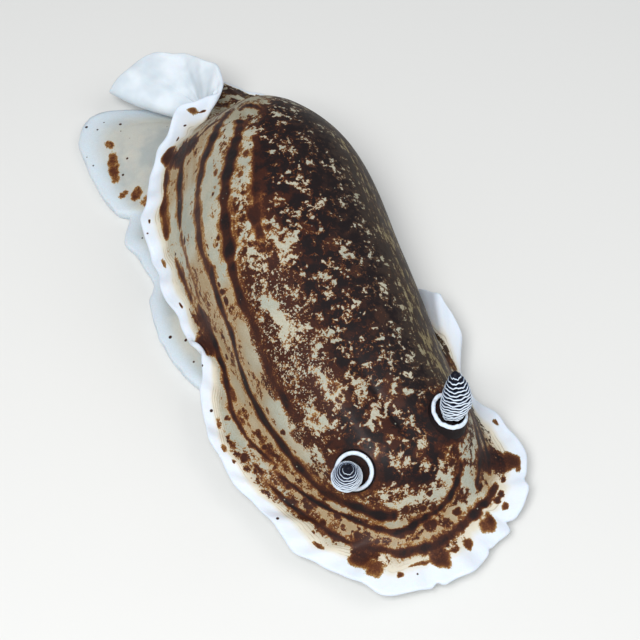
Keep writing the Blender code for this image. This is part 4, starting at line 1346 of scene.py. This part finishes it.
def mantle_skin(mat):
    """One closed skin over back, skirt, margin and underside."""
    count = MANTLE_COLUMNS
    phi = TURN * np.arange(count) / count
    r_top = np.linspace(0.0, 1.0, MANTLE_ROWS) ** 0.9
    r_under = np.linspace(1.0, RING_R, UNDER_ROWS + 1)[1:]
    r_bed = np.linspace(RING_R, 0.0, BED_ROWS + 1)[1:]
    out, lift = ruffle(phi)
    whole = np.full(count, 1.0)
    edge = top(phi, whole)
    outward = unit(slopes(phi, whole)[1])
    up = normal(phi, whole)
    wave = outward * out[:, None] + up * lift[:, None]
    half = EDGE_THICK / 2.0

    def at_edge(place, r):
        """Place moved by the margin's waves, and drawn in where the edge turns over."""
        drawn_in = outward * half * smooth((r - 0.9) / 0.1)
        return place + wave * smooth((r - 0.80) / 0.20) - drawn_in

    rows = []
    for r in r_top:
        place = top(phi, whole * r)
        if 0.1 < r < 0.9:
            place = place + normal(phi, whole * r) * mound(place)[:, None]
        rows.append(at_edge(place, r))
    for k in range(1, TURN_ROWS):
        angle = math.pi * k / TURN_ROWS
        place = edge + wave - up * half * (1.0 - math.cos(angle))
        rows.append(place + outward * half * (math.sin(angle) - 1.0))
    rows += [at_edge(under(phi, whole * r), r) for r in r_under]
    rows += [under(phi, whole * r) for r in r_bed]
    grid = np.stack(rows)
    r_rows = np.concatenate([r_top, np.ones(TURN_ROWS - 1), r_under, r_bed])
    upper = np.arange(len(r_rows)) < MANTLE_ROWS + TURN_ROWS // 2
    phi_grid, r_grid = np.meshgrid(phi, r_rows)
    span = np.linalg.norm(slopes(phi_grid, r_grid)[1], axis=-1)
    reach = np.linalg.norm(np.diff(grid[:MANTLE_ROWS], axis=0), axis=-1)
    edge_mm = np.zeros_like(r_grid)
    to_edge = np.cumsum(reach[::-1], axis=0)[::-1]
    edge_mm[: MANTLE_ROWS - 1] = to_edge * margin_scale(np.degrees(phi))
    fields = ink_fields(phi_grid, r_grid, top(phi_grid, r_grid), span, edge_mm)
    wall = fields.pop("wall")
    fields |= {
        "flow": flow_places(phi_grid, r_grid),
        "edge_mm": edge_mm * (1.0 - 0.45 * wall) / EDGE_UNIT,
        "underside": np.broadcast_to(~upper[:, None], r_grid.shape).astype(float),
    }
    return skin_object("mantle", grid, mat, fields)


def flow_places(phi, r):
    """Places along and across the body's long lines, for marks that run with them."""
    run, length = way_round(phi, RING_R, RING_SAMPLES)
    radius = length / TURN * FLOW_ALONG
    return np.stack([np.cos(run) * radius, np.sin(run) * radius, r * BACK_REACH * FLOW_ACROSS], -1)


def foot_skin(mat):
    """One closed skin over the foot, its thin flange and its sole."""
    count = FOOT_COLUMNS
    phi = TURN * np.arange(count) / count
    r_top = np.linspace(0.0, 1.0, FOOT_ROWS)
    rows = [foot_top(phi, np.full(count, r)) for r in r_top]
    edge = rows[-1].copy()
    out = unit(edge - rows[-2])
    out[:, 2] = 0.0
    wave = waves(phi, FOOT_WAVES)
    for share in FOOT_EDGE_SHARES:
        row = edge + out * (0.12 * math.sin(math.pi * share) + wave[:, None] * share)
        row[:, 2] = SOLE_EDGE_Z * share
        rows.append(row)
    for r in SOLE_R:
        row = foot_top(phi, np.full(count, r))
        row[:, 2] = 0.0
        rows.append(row)
    grid = np.stack(rows)
    r_rows = np.concatenate([r_top, np.ones(len(FOOT_EDGE_SHARES)), SOLE_R])
    r_grid = np.meshgrid(phi, r_rows)[1]
    ink = np.full(r_grid.shape, 0.16)
    for x, y, long, wide, turn, strength in FOOT_BLOTS:
        c = math.cos(math.radians(turn))
        s = math.sin(math.radians(turn))
        u = ((grid[..., 0] - x) * c + (grid[..., 1] - y) * s) / long
        v = ((grid[..., 1] - y) * c - (grid[..., 0] - x) * s) / wide
        ink = np.maximum(ink, strength * (1.0 - smooth(np.hypot(u, v) - 0.4)))
    return skin_object("foot", grid, mat, {"ink": ink, "edge_share": 1.0 - r_grid})


# Brown marks of the foot: x, y, half length, half width, turn, strength
FOOT_BLOTS = (
    (-9.6, 23.5, 2.6, 0.8, 75, 0.62),
    (-10.0, 19.6, 0.8, 0.5, 20, 0.6),
    (-8.9, 18.8, 1.0, 0.7, 60, 0.66),
    (-8.4, 17.4, 0.9, 0.8, 0, 0.52),
    (-9.0, 26.5, 1.0, 0.6, 100, 0.6),
)


def stand_on(root, lean):
    """Turn and place whose Z is the lean, on a root of the mantle."""
    z_axis = Vector(lean).normalized()
    x_axis = Vector((0.0, -1.0, 0.0)).cross(z_axis).normalized()
    y_axis = z_axis.cross(x_axis)
    turn = Matrix((x_axis, y_axis, z_axis)).transposed()
    return Matrix.Translation(Vector(seat_of(root)[2])) @ turn.to_4x4()


def in_frame(matrix):
    """Matrix that takes a form made in millimetres to its place in the frame, in metres."""
    return Matrix.Scale(MM, 4) @ Matrix.Translation(Vector(SHIFT)) @ matrix


def ring_faces(index):
    """Faces between the rings of an index table."""
    after = np.roll(index, -1, axis=1)
    return np.stack([index[:-1], after[:-1], after[1:], index[1:]], -1).reshape(-1, 4)


def turned(profile, sides, closed=False):
    """Rings of a turned form from (radius, height) points; returns points and faces."""
    angles = TURN * np.arange(sides) / sides
    circle = np.stack([np.cos(angles), np.sin(angles)], -1)
    table = np.array(profile, float)
    heights = np.broadcast_to(table[:, None, 1:2], (len(table), sides, 1))
    points = np.concatenate([table[:, None, 0:1] * circle[None], heights], -1)
    index = np.arange(len(table) * sides).reshape(len(table), sides)
    if closed:
        index = np.concatenate([index, index[:1]])
    return points.reshape(-1, 3), ring_faces(index)


def tube(points, radii, sides):
    """Round tapering form along a bent line, closed at both ends."""
    points = np.array(points, float)
    ahead = unit(np.gradient(points, axis=0))
    side = unit(np.cross(ahead, np.array((0.37, 0.21, 0.91))))
    other = np.cross(ahead, side)
    angles = TURN * np.arange(sides) / sides
    c = np.cos(angles)[None, :, None]
    s = np.sin(angles)[None, :, None]
    circle = c * side[:, None] + s * other[:, None]
    rings = points[:, None] + circle * np.array(radii, float)[:, None, None]
    ends = [np.repeat(points[:1], sides, 0)[None], rings, np.repeat(points[-1:], sides, 0)[None]]
    grid = np.concatenate(ends)
    index = np.arange(grid.shape[0] * sides).reshape(-1, sides)
    return grid.reshape(-1, 3), ring_faces(index)


# Growth by geometry nodes


def bent(heights, tallest, bend):
    """Shift of each height of a form that bends, from its shifts half way up and at the tip."""
    t = np.clip(heights / tallest, 0.0, 1.0)[:, None]
    half_way, tip = (np.array(shift) for shift in bend)
    return 4.0 * t * (1.0 - t) * half_way + t * (2.0 * t - 1.0) * tip


def grown(name, host, tree, values, matrix, bend=None):
    """Plain mesh object of what a growth tree makes on its host, put in its place."""
    growth = host.modifiers.new("growth", "NODES")
    growth.node_group = tree
    for socket in tree.interface.items_tree:
        if socket.item_type == "SOCKET" and socket.in_out == "INPUT" and socket.name in values:
            growth[socket.identifier] = values[socket.name]
    view = bpy.context.evaluated_depsgraph_get()
    full = host.evaluated_get(view)
    mesh = bpy.data.meshes.new_from_object(full, preserve_all_data_layers=True, depsgraph=view)
    bpy.data.objects.remove(host, do_unlink=True)
    mesh.name = name
    if matrix is not None:
        places = np.zeros(len(mesh.vertices) * 3)
        mesh.vertices.foreach_get("co", places)
        heights = places[2::3].copy()
        mesh.transform(in_frame(matrix))
        if bend is not None:
            mesh.vertices.foreach_get("co", places)
            places += (bent(heights, CLUB_HIGH, bend) * MM).ravel()
            mesh.vertices.foreach_set("co", places)
    mesh.shade_smooth()
    return in_scene(name, mesh)


def growth_tree(name, repeated, *inputs):
    """Empty growth tree on a host, with the object that it repeats and its own inputs."""
    inputs = (("Geometry", SHAPE, None), (repeated, "NodeSocketObject", None), *inputs)
    return new_tree("GeometryNodeTree", name, inputs, (("Geometry", SHAPE),))


def end_growth(tree, given, part, mat, out):
    """Join the host and what grew on it, make them real and give them their skin."""
    joined = node(tree, "GeometryNodeJoinGeometry")
    for geometry in (given["Geometry"], part):
        tree.links.new(geometry, joined.inputs[0])
    real = node(tree, "GeometryNodeRealizeInstances", {"Geometry": joined.outputs[0]})
    skin = node(tree, "GeometryNodeSetMaterial", {"Geometry": real.outputs[0], "Material": mat})
    tree.links.new(skin.outputs[0], out["Geometry"])


def leaf_shape(given, tree, label):
    """The leaf that a growth tree repeats."""
    return node(tree, "GeometryNodeObjectInfo", {"Object": given[label]}).outputs["Geometry"]


def club_growth(mat):
    """Slanting leaves stacked up the club of a rhinophore."""
    tree, given, out = growth_tree(
        "club_growth",
        "Leaf",
        ("Leaves", WHOLE, LEAVES),
        ("Low", FLOAT, LEAF_LOW),
        ("High", FLOAT, CLUB_HIGH),
        ("Radius", FLOAT, CLUB_RADIUS),
        ("Foot Share", FLOAT, LEAF_FOOT_SHARE),
        ("Widest", FLOAT, CLUB_WIDEST),
        ("Slant", FLOAT, LEAF_SLANT),
        ("Seed", WHOLE, 3),
    )
    spaces = plus(tree, given["Leaves"], 0.4)
    pitch = over(tree, minus(tree, given["High"], given["Low"]), spaces)
    low = vector(tree, Z=given["Low"])
    step = vector(tree, Z=pitch)
    line_inputs = {"Count": given["Leaves"], "Start Location": low, "Offset": step}
    line = node(tree, "GeometryNodeMeshLine", line_inputs, mode="OFFSET")
    index = node(tree, "GeometryNodeInputIndex").outputs[0]
    share = over(tree, plus(tree, index, 0.5), spaces)
    swell = between(tree, share, 0.0, given["Widest"], given["Foot Share"])
    fade_inputs = {"Value": share, "From Min": given["Widest"]}
    fade = node(tree, "ShaderNodeMapRange", fade_inputs).outputs[0]
    fade = maths(tree, "POWER", minus(tree, 1.0, times(tree, fade, fade)), 0.6)
    radius = times(tree, given["Radius"], times(tree, swell, fade))
    size = vector(tree, X=radius, Y=radius, Z=1.0)
    slant = times(tree, given["Slant"], minus(tree, 1.0, times(tree, share, 0.55)))
    turn = vector(tree, X=slant)
    leaf = leaf_shape(given, tree, "Leaf")
    held = {"Points": line.outputs[0], "Instance": leaf, "Rotation": turn, "Scale": size}
    stack = node(tree, "GeometryNodeInstanceOnPoints", held).outputs[0]
    chance = node(tree, "FunctionNodeRandomValue", {"Seed": given["Seed"]}).outputs[1]
    spin = vector(tree, Z=times(tree, chance, TURN))
    held = {"Instances": stack, "Rotation": spin}
    spun = node(tree, "GeometryNodeRotateInstances", held).outputs[0]
    end_growth(tree, given, spun, mat, out)
    return tree


def gill_growth(mat):
    """Gill leaves set in a ring, each with pairs of small branches along its stem."""
    tree, given, out = growth_tree("gill_growth", "Leaf", ("Leaves", WHOLE, GILL_LEAVES))
    points = node(tree, "GeometryNodePoints", {"Count": given["Leaves"]}).outputs[0]
    index = node(tree, "GeometryNodeInputIndex").outputs[0]
    angle = over(tree, times(tree, plus(tree, index, 0.5), TURN), given["Leaves"])
    turn = vector(tree, Z=angle)
    leaf = leaf_shape(given, tree, "Leaf")
    held = {"Points": points, "Instance": leaf, "Rotation": turn}
    ring_of = node(tree, "GeometryNodeInstanceOnPoints", held).outputs[0]
    end_growth(tree, given, ring_of, mat, out)
    return tree


def branch_growth(mat):
    """Pairs of small branches that shorten towards the tip of a gill leaf's stem."""
    inputs = (("Pairs", WHOLE, GILL_PAIRS), ("Reach", FLOAT, GILL_REACH))
    tree, given, out = growth_tree("branch_growth", "Branch", *inputs)
    count = times(tree, given["Pairs"], 2.0)
    points = node(tree, "GeometryNodePoints", {"Count": count}).outputs[0]
    index = node(tree, "GeometryNodeInputIndex").outputs[0]
    pair = maths(tree, "FLOOR", over(tree, index, 2.0))
    way = minus(tree, times(tree, maths(tree, "MODULO", index, 2.0), 2.0), 1.0)
    t = plus(tree, 0.18, times(tree, over(tree, pair, given["Pairs"]), 0.82))
    square = times(tree, t, t)
    out_x, up_z = (
        minus(tree, plus(tree, start, times(tree, t, run)), times(tree, square, curl))
        for start, run, curl in (GILL_OUT, GILL_UP)
    )
    place = vector(tree, X=out_x, Z=up_z)
    held = {"Geometry": points, "Position": place}
    seated = node(tree, "GeometryNodeSetPosition", held).outputs[0]
    size = times(tree, given["Reach"], minus(tree, 1.0, times(tree, t, 0.45)))
    turn = vector(tree, X=times(tree, way, -1.2), Y=0.35)
    leaf = leaf_shape(given, tree, "Branch")
    held = {"Points": seated, "Instance": leaf, "Rotation": turn, "Scale": size}
    pairs = node(tree, "GeometryNodeInstanceOnPoints", held).outputs[0]
    end_growth(tree, given, pairs, mat, out)
    return tree


def club_share(t):
    """Share of the club's largest radius, from its lower end (0) to its blunt tip (1)."""
    swell = LEAF_FOOT_SHARE + (1.0 - LEAF_FOOT_SHARE) * smooth(t / CLUB_WIDEST)
    fade = np.clip((t - CLUB_WIDEST) / (1.0 - CLUB_WIDEST), 0.0, 1.0)
    return float(swell * (1.0 - fade**2) ** 0.6)


def club_leaf(mat):
    """One leaf of a club: a thin wavy disc of radius 1 with an open middle."""
    upper = ((0.45, 0.04), (0.80, 0.055), (0.955, 0.06), (0.992, 0.042), (1.0, 0.0))
    profile = upper + tuple((radius, -height) for radius, height in upper[-2::-1])
    points, faces = turned(profile, LEAF_SIDES, closed=True)
    angle = np.arctan2(points[:, 1], points[:, 0])
    radius = np.hypot(points[:, 0], points[:, 1])
    points[:, 2] += waves(angle, LEAF_WAVES) * smooth((radius - 0.45) / 0.5)
    return form("club_leaf", (points, faces), mat, "leaf_edge", radius)


def club_core(mat):
    """Stalk and dark middle of a club."""
    profile = [(0.0, 0.0), (STALK_RADIUS, 0.0), (STALK_RADIUS, LEAF_LOW - 0.2)]
    for k in range(15):
        t = k / 14.0
        height = LEAF_LOW + (CLUB_HIGH - LEAF_LOW) * t * 0.97
        profile.append((CLUB_RADIUS * CORE_SHARE * club_share(t * 0.97), height))
    profile.append((0.0, CLUB_HIGH - 0.05))
    return form("club_core", turned(profile, 32), mat, "leaf_edge", 0.0)


def gill_leaf(mat):
    """Bent stem of one gill leaf with its branches."""
    t = np.linspace(0.0, 1.0, 9)
    out, up = (start + run * t - curl * t * t for start, run, curl in (GILL_OUT, GILL_UP))
    stem = np.stack([out, 0.0 * t, up], -1)
    host = form("gill_stem", tube(stem, 0.20 - 0.10 * t**2, 10), mat, "leaf_edge", 0.3)
    line = np.stack([0.0 * t, 0.0 * t, t], -1)[::2]
    points, faces = tube(line, (0.20, 0.24, 0.22, 0.16, 0.08), 6)
    branch = form("gill_branch", (points, faces), mat, "leaf_edge", points[:, 2])
    leaf = grown("gill_leaf", host, branch_growth(mat), {"Branch": branch}, None)
    bpy.data.objects.remove(branch, do_unlink=True)
    return leaf


def gill_plume(mat):
    """Low papilla with the ring of drawn-in gill leaves."""
    foot = ((0.0, -0.5), (0.9, -0.5), (1.02, 0.5), (0.8, 0.85))
    papilla = ((0.5, 0.95), (0.36, 1.15), (0.2, 1.28), (0.0, 1.3))
    host = form("gill_base", turned(foot + papilla, 32), mat, "leaf_edge", 0.15)
    leaf = gill_leaf(mat)
    place = stand_on(GILL_ROOT, GILL_LEAN)
    plume = grown("gill_plume_skin", host, gill_growth(mat), {"Leaf": leaf}, place)
    bpy.data.objects.remove(leaf, do_unlink=True)
    return plume


def seat_heights(matrix, root):
    """How high the mantle lies over a root's own XY plane, as a function of x and y."""
    phi, r, middle = seat_of(root)
    steps = np.linspace(-1.0, 1.0, 61)
    phi, r = np.meshgrid(phi + 0.6 * steps, np.clip(r + 0.3 * steps, 0.02, 0.98))
    places = top(phi, r)
    places = places + normal(phi, r) * mound(places)[..., None]
    local = (places - middle).reshape(-1, 3) @ np.array(matrix.to_3x3())
    beside = np.hypot(local[:, 0], local[:, 1]) < SEAT_REACH
    x, y, z = local[beside & (np.abs(local[:, 2]) < SEAT_REACH)].T

    def terms(x, y):
        return np.stack([np.ones_like(x), x, y, x * x, x * y, y * y], -1)

    fit = np.linalg.lstsq(terms(x, y), z, rcond=None)[0]
    return lambda x, y: terms(x, y) @ fit


def collar(name, sizes, root, lean, mat):
    """Raised ring that rises from the mantle's skin, turns over and runs down inside."""
    out_radius, in_radius, high, least, flare = sizes
    steps = 30
    wall = out_radius - in_radius
    profile = []
    for k in range(steps + 1):
        t = k / steps
        if t < 0.5:
            u = t / 0.5
            radius = out_radius + flare * (1.0 - u) ** 2.5
            height = -1.0 + (high + 1.0 - wall / 2.0) * smooth(u) ** 0.8
        else:
            u = (t - 0.5) / 0.5
            bend = min(u / 0.35, 1.0) * math.pi
            radius = (out_radius + in_radius) / 2.0 + wall / 2.0 * math.cos(bend)
            height = high - wall / 2.0 + wall / 2.0 * math.sin(bend)
            height -= max(u - 0.35, 0.0) / 0.65 * (high + 0.4)
        profile.append((radius, height))
    points, faces = turned(profile, COLLAR_SIDES, closed=True)
    x, y, height = points.T
    place = stand_on(root, lean)
    seat = seat_heights(place, root)
    angle = np.arctan2(y, x)
    middle = (out_radius + in_radius) / 2.0
    spare = high - seat(middle * np.cos(angle), middle * np.sin(angle)) - least
    rise = least + (spare + np.sqrt(spare * spare + 0.04)) / 2.0
    share = np.exp(-(((height - high) * rise / high / RIM_BAND) ** 2))
    wave = 0.05 * (np.sin(9.0 * angle) + 0.6 * np.sin(17.0 * angle + 1.0)) * share
    points[:, 2] = seat(x, y) + np.where(height < 0.0, 0.6 * height, height * rise / high) + wave
    made = form(name, (points, faces), mat, "rim_share", share)
    made.data.transform(in_frame(place))
    return made


def head_skin(mat):
    """Flat head under the front of the mantle, with its mouth fold."""
    rows = np.linspace(-math.pi / 2.0, math.pi / 2.0, 33)
    profile = [(math.cos(angle), math.sin(angle)) for angle in rows]
    points, faces = turned(profile, 64)
    x, y, z = points.T
    fold = MOUTH_DEPTH * np.exp(-(((z + 0.1) / 0.22) ** 2))
    fold = fold * smooth(-y) * smooth(1.4 - 1.6 * np.abs(x))
    flat = np.sign(z) * np.abs(z) ** 0.8
    points = np.stack([x, y, flat], -1) * np.array(HEAD_HALF) + np.array(HEAD_MIDDLE)
    points[:, 1] += fold
    return mesh_object("head_skin", points, faces, mat, welded=True)


def oral_tentacle(name, side, mat):
    """Short blunt feeler beside the mouth."""
    t = np.linspace(0.0, 1.0, 14)
    start = np.array((HEAD_MIDDLE[0] + side * (HEAD_HALF[0] + 0.15), HEAD_MIDDLE[1] - 0.1, 1.0))
    bend = np.stack([side * (2.05 * t - 0.15), -TENTACLE_LENGTH * 0.55 * t * t, -0.25 * t], -1)
    radii = TENTACLE_RADIUS * (0.85 + 0.3 * np.sin(2.4 * t)) * (1.0 - 0.55 * t**3)
    radii = radii * np.sqrt(1.0 - 0.9 * smooth((t - 0.8) / 0.2))
    points, faces = tube(start + bend, radii, 24)
    return mesh_object(name, points, faces, mat, welded=True)


def build_pieces():
    skin = mantle_skin(mantle_material())
    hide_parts(*[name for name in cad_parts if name.startswith("mantle")])
    foot = foot_skin(foot_material())
    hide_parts("foot_front", "foot_middle", "tail")
    made = [skin, foot]
    dark_collar = collar_material("sheath_skin", SHEATH_DARK, SHEATH_WHITE)
    leaves = leaf_material()
    growth = club_growth(leaves)
    leaf = club_leaf(leaves)
    for side, root, club_root, lean, tilt, bend in (
        ("right", RIGHT_ROOT, RIGHT_CLUB_ROOT, RIGHT_LEAN, RIGHT_SHEATH_LEAN, RIGHT_BEND),
        ("left", LEFT_ROOT, LEFT_CLUB_ROOT, LEFT_LEAN, LEFT_SHEATH_LEAN, LEFT_BEND),
    ):
        ring_piece = collar("sheath_" + side, SHEATH, root, tilt, dark_collar)
        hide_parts("rhinophore_sheath_" + side)
        place = stand_on(club_root, lean)
        club = grown("club_" + side, club_core(leaves), growth, {"Leaf": leaf}, place, bend)
        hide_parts("rhinophore_" + side)
        made += [ring_piece, club]
    bpy.data.objects.remove(leaf, do_unlink=True)
    gill_collar = collar_material("gill_rim_skin", GILL_RIM_DARK, GILL_RIM_PALE)
    gill_rim = collar("gill_rim", GILL_RIM, GILL_ROOT, GILL_LEAN, gill_collar)
    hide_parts("gill_pocket_rim")
    plume = gill_plume(soft_material("gill_skin", GILL_BROWN, GILL_DARK, 0.3))
    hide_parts("gill_plume")
    pale = soft_material("head_flesh", HEAD_BLUE, HEAD_CREAM, 0.12)
    head = head_skin(pale)
    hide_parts("head")
    made += [gill_rim, plume, head]
    for side, way in (("right", -1.0), ("left", 1.0)):
        feeler = oral_tentacle("feeler_" + side, way, pale)
        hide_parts("oral_tentacle_" + side)
        made.append(feeler)
    for piece in made:
        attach(piece, "root")


# Floor, light and camera: angles in degrees, distance, target and lens in millimetres
CAMERA_AZIMUTH = -25.0
CAMERA_HEIGHT = 54.0
CAMERA_DISTANCE = 148.0
CAMERA_TARGET = (0.0, -6.3, 6.0)
CAMERA_LENS = 90.0
CAMERA_SENSOR = 36.0
CAMERA_CLIP = 0.005
FLOOR_DROP = 0.0001
WORLD_LIGHT = 0.36

# Lamps: name, azimuth and height in degrees, distance and size in metres, power in watts
LAMPS = (
    ("key", -40.0, 58.0, 0.30, 0.12, 0.78),
    ("fill", 60.0, 50.0, 0.40, 0.25, 0.28),
)


def floor():
    mesh = bpy.data.meshes.new("floor")
    bm = bmesh.new()
    bmesh.ops.create_grid(bm, x_segments=1, y_segments=1, size=1.0)
    bm.to_mesh(mesh)
    bm.free()
    mat = bpy.data.materials.new("floor")
    mat.use_nodes = True
    shader = mat.node_tree.nodes["Principled BSDF"]
    shader.inputs["Base Color"].default_value = (*FLOOR_GREY, 1.0)
    shader.inputs["Roughness"].default_value = 0.8
    mesh.materials.append(mat)
    obj = in_scene("floor", mesh)
    obj.location.z = -FLOOR_DROP


def from_direction(azimuth, height):
    a = math.radians(azimuth)
    e = math.radians(height)
    return Vector((math.sin(a) * math.cos(e), -math.cos(a) * math.cos(e), math.sin(e)))


def lamp(name, azimuth, height, distance, size, power):
    """Soft square light, aimed at the animal."""
    light = bpy.data.lights.new(name, "AREA")
    light.shape = "SQUARE"
    light.size = size
    light.energy = power
    obj = in_scene(name, light)
    back = from_direction(azimuth, height)
    obj.location = back * distance
    obj.rotation_euler = (-back).to_track_quat("-Z", "Y").to_euler()


def camera():
    data = bpy.data.cameras.new("camera")
    data.lens = CAMERA_LENS
    data.sensor_width = CAMERA_SENSOR
    data.clip_start = CAMERA_CLIP
    obj = in_scene("camera", data)
    back = from_direction(CAMERA_AZIMUTH, CAMERA_HEIGHT)
    target = (Vector(CAMERA_TARGET) + Vector(SHIFT)) * MM
    obj.location = target + back * CAMERA_DISTANCE * MM
    obj.rotation_euler = (-back).to_track_quat("-Z", "Y").to_euler()
    bpy.context.scene.camera = obj


def studio():
    world = bpy.data.worlds.new("studio")
    world.use_nodes = True
    background = world.node_tree.nodes["Background"]
    background.inputs["Color"].default_value = (*SKY, 1.0)
    background.inputs["Strength"].default_value = WORLD_LIGHT
    bpy.context.scene.world = world
    bpy.context.scene.view_settings.view_transform = "Standard"
    for row in LAMPS:
        lamp(*row)
    floor()
    camera()


build_pieces()
studio()
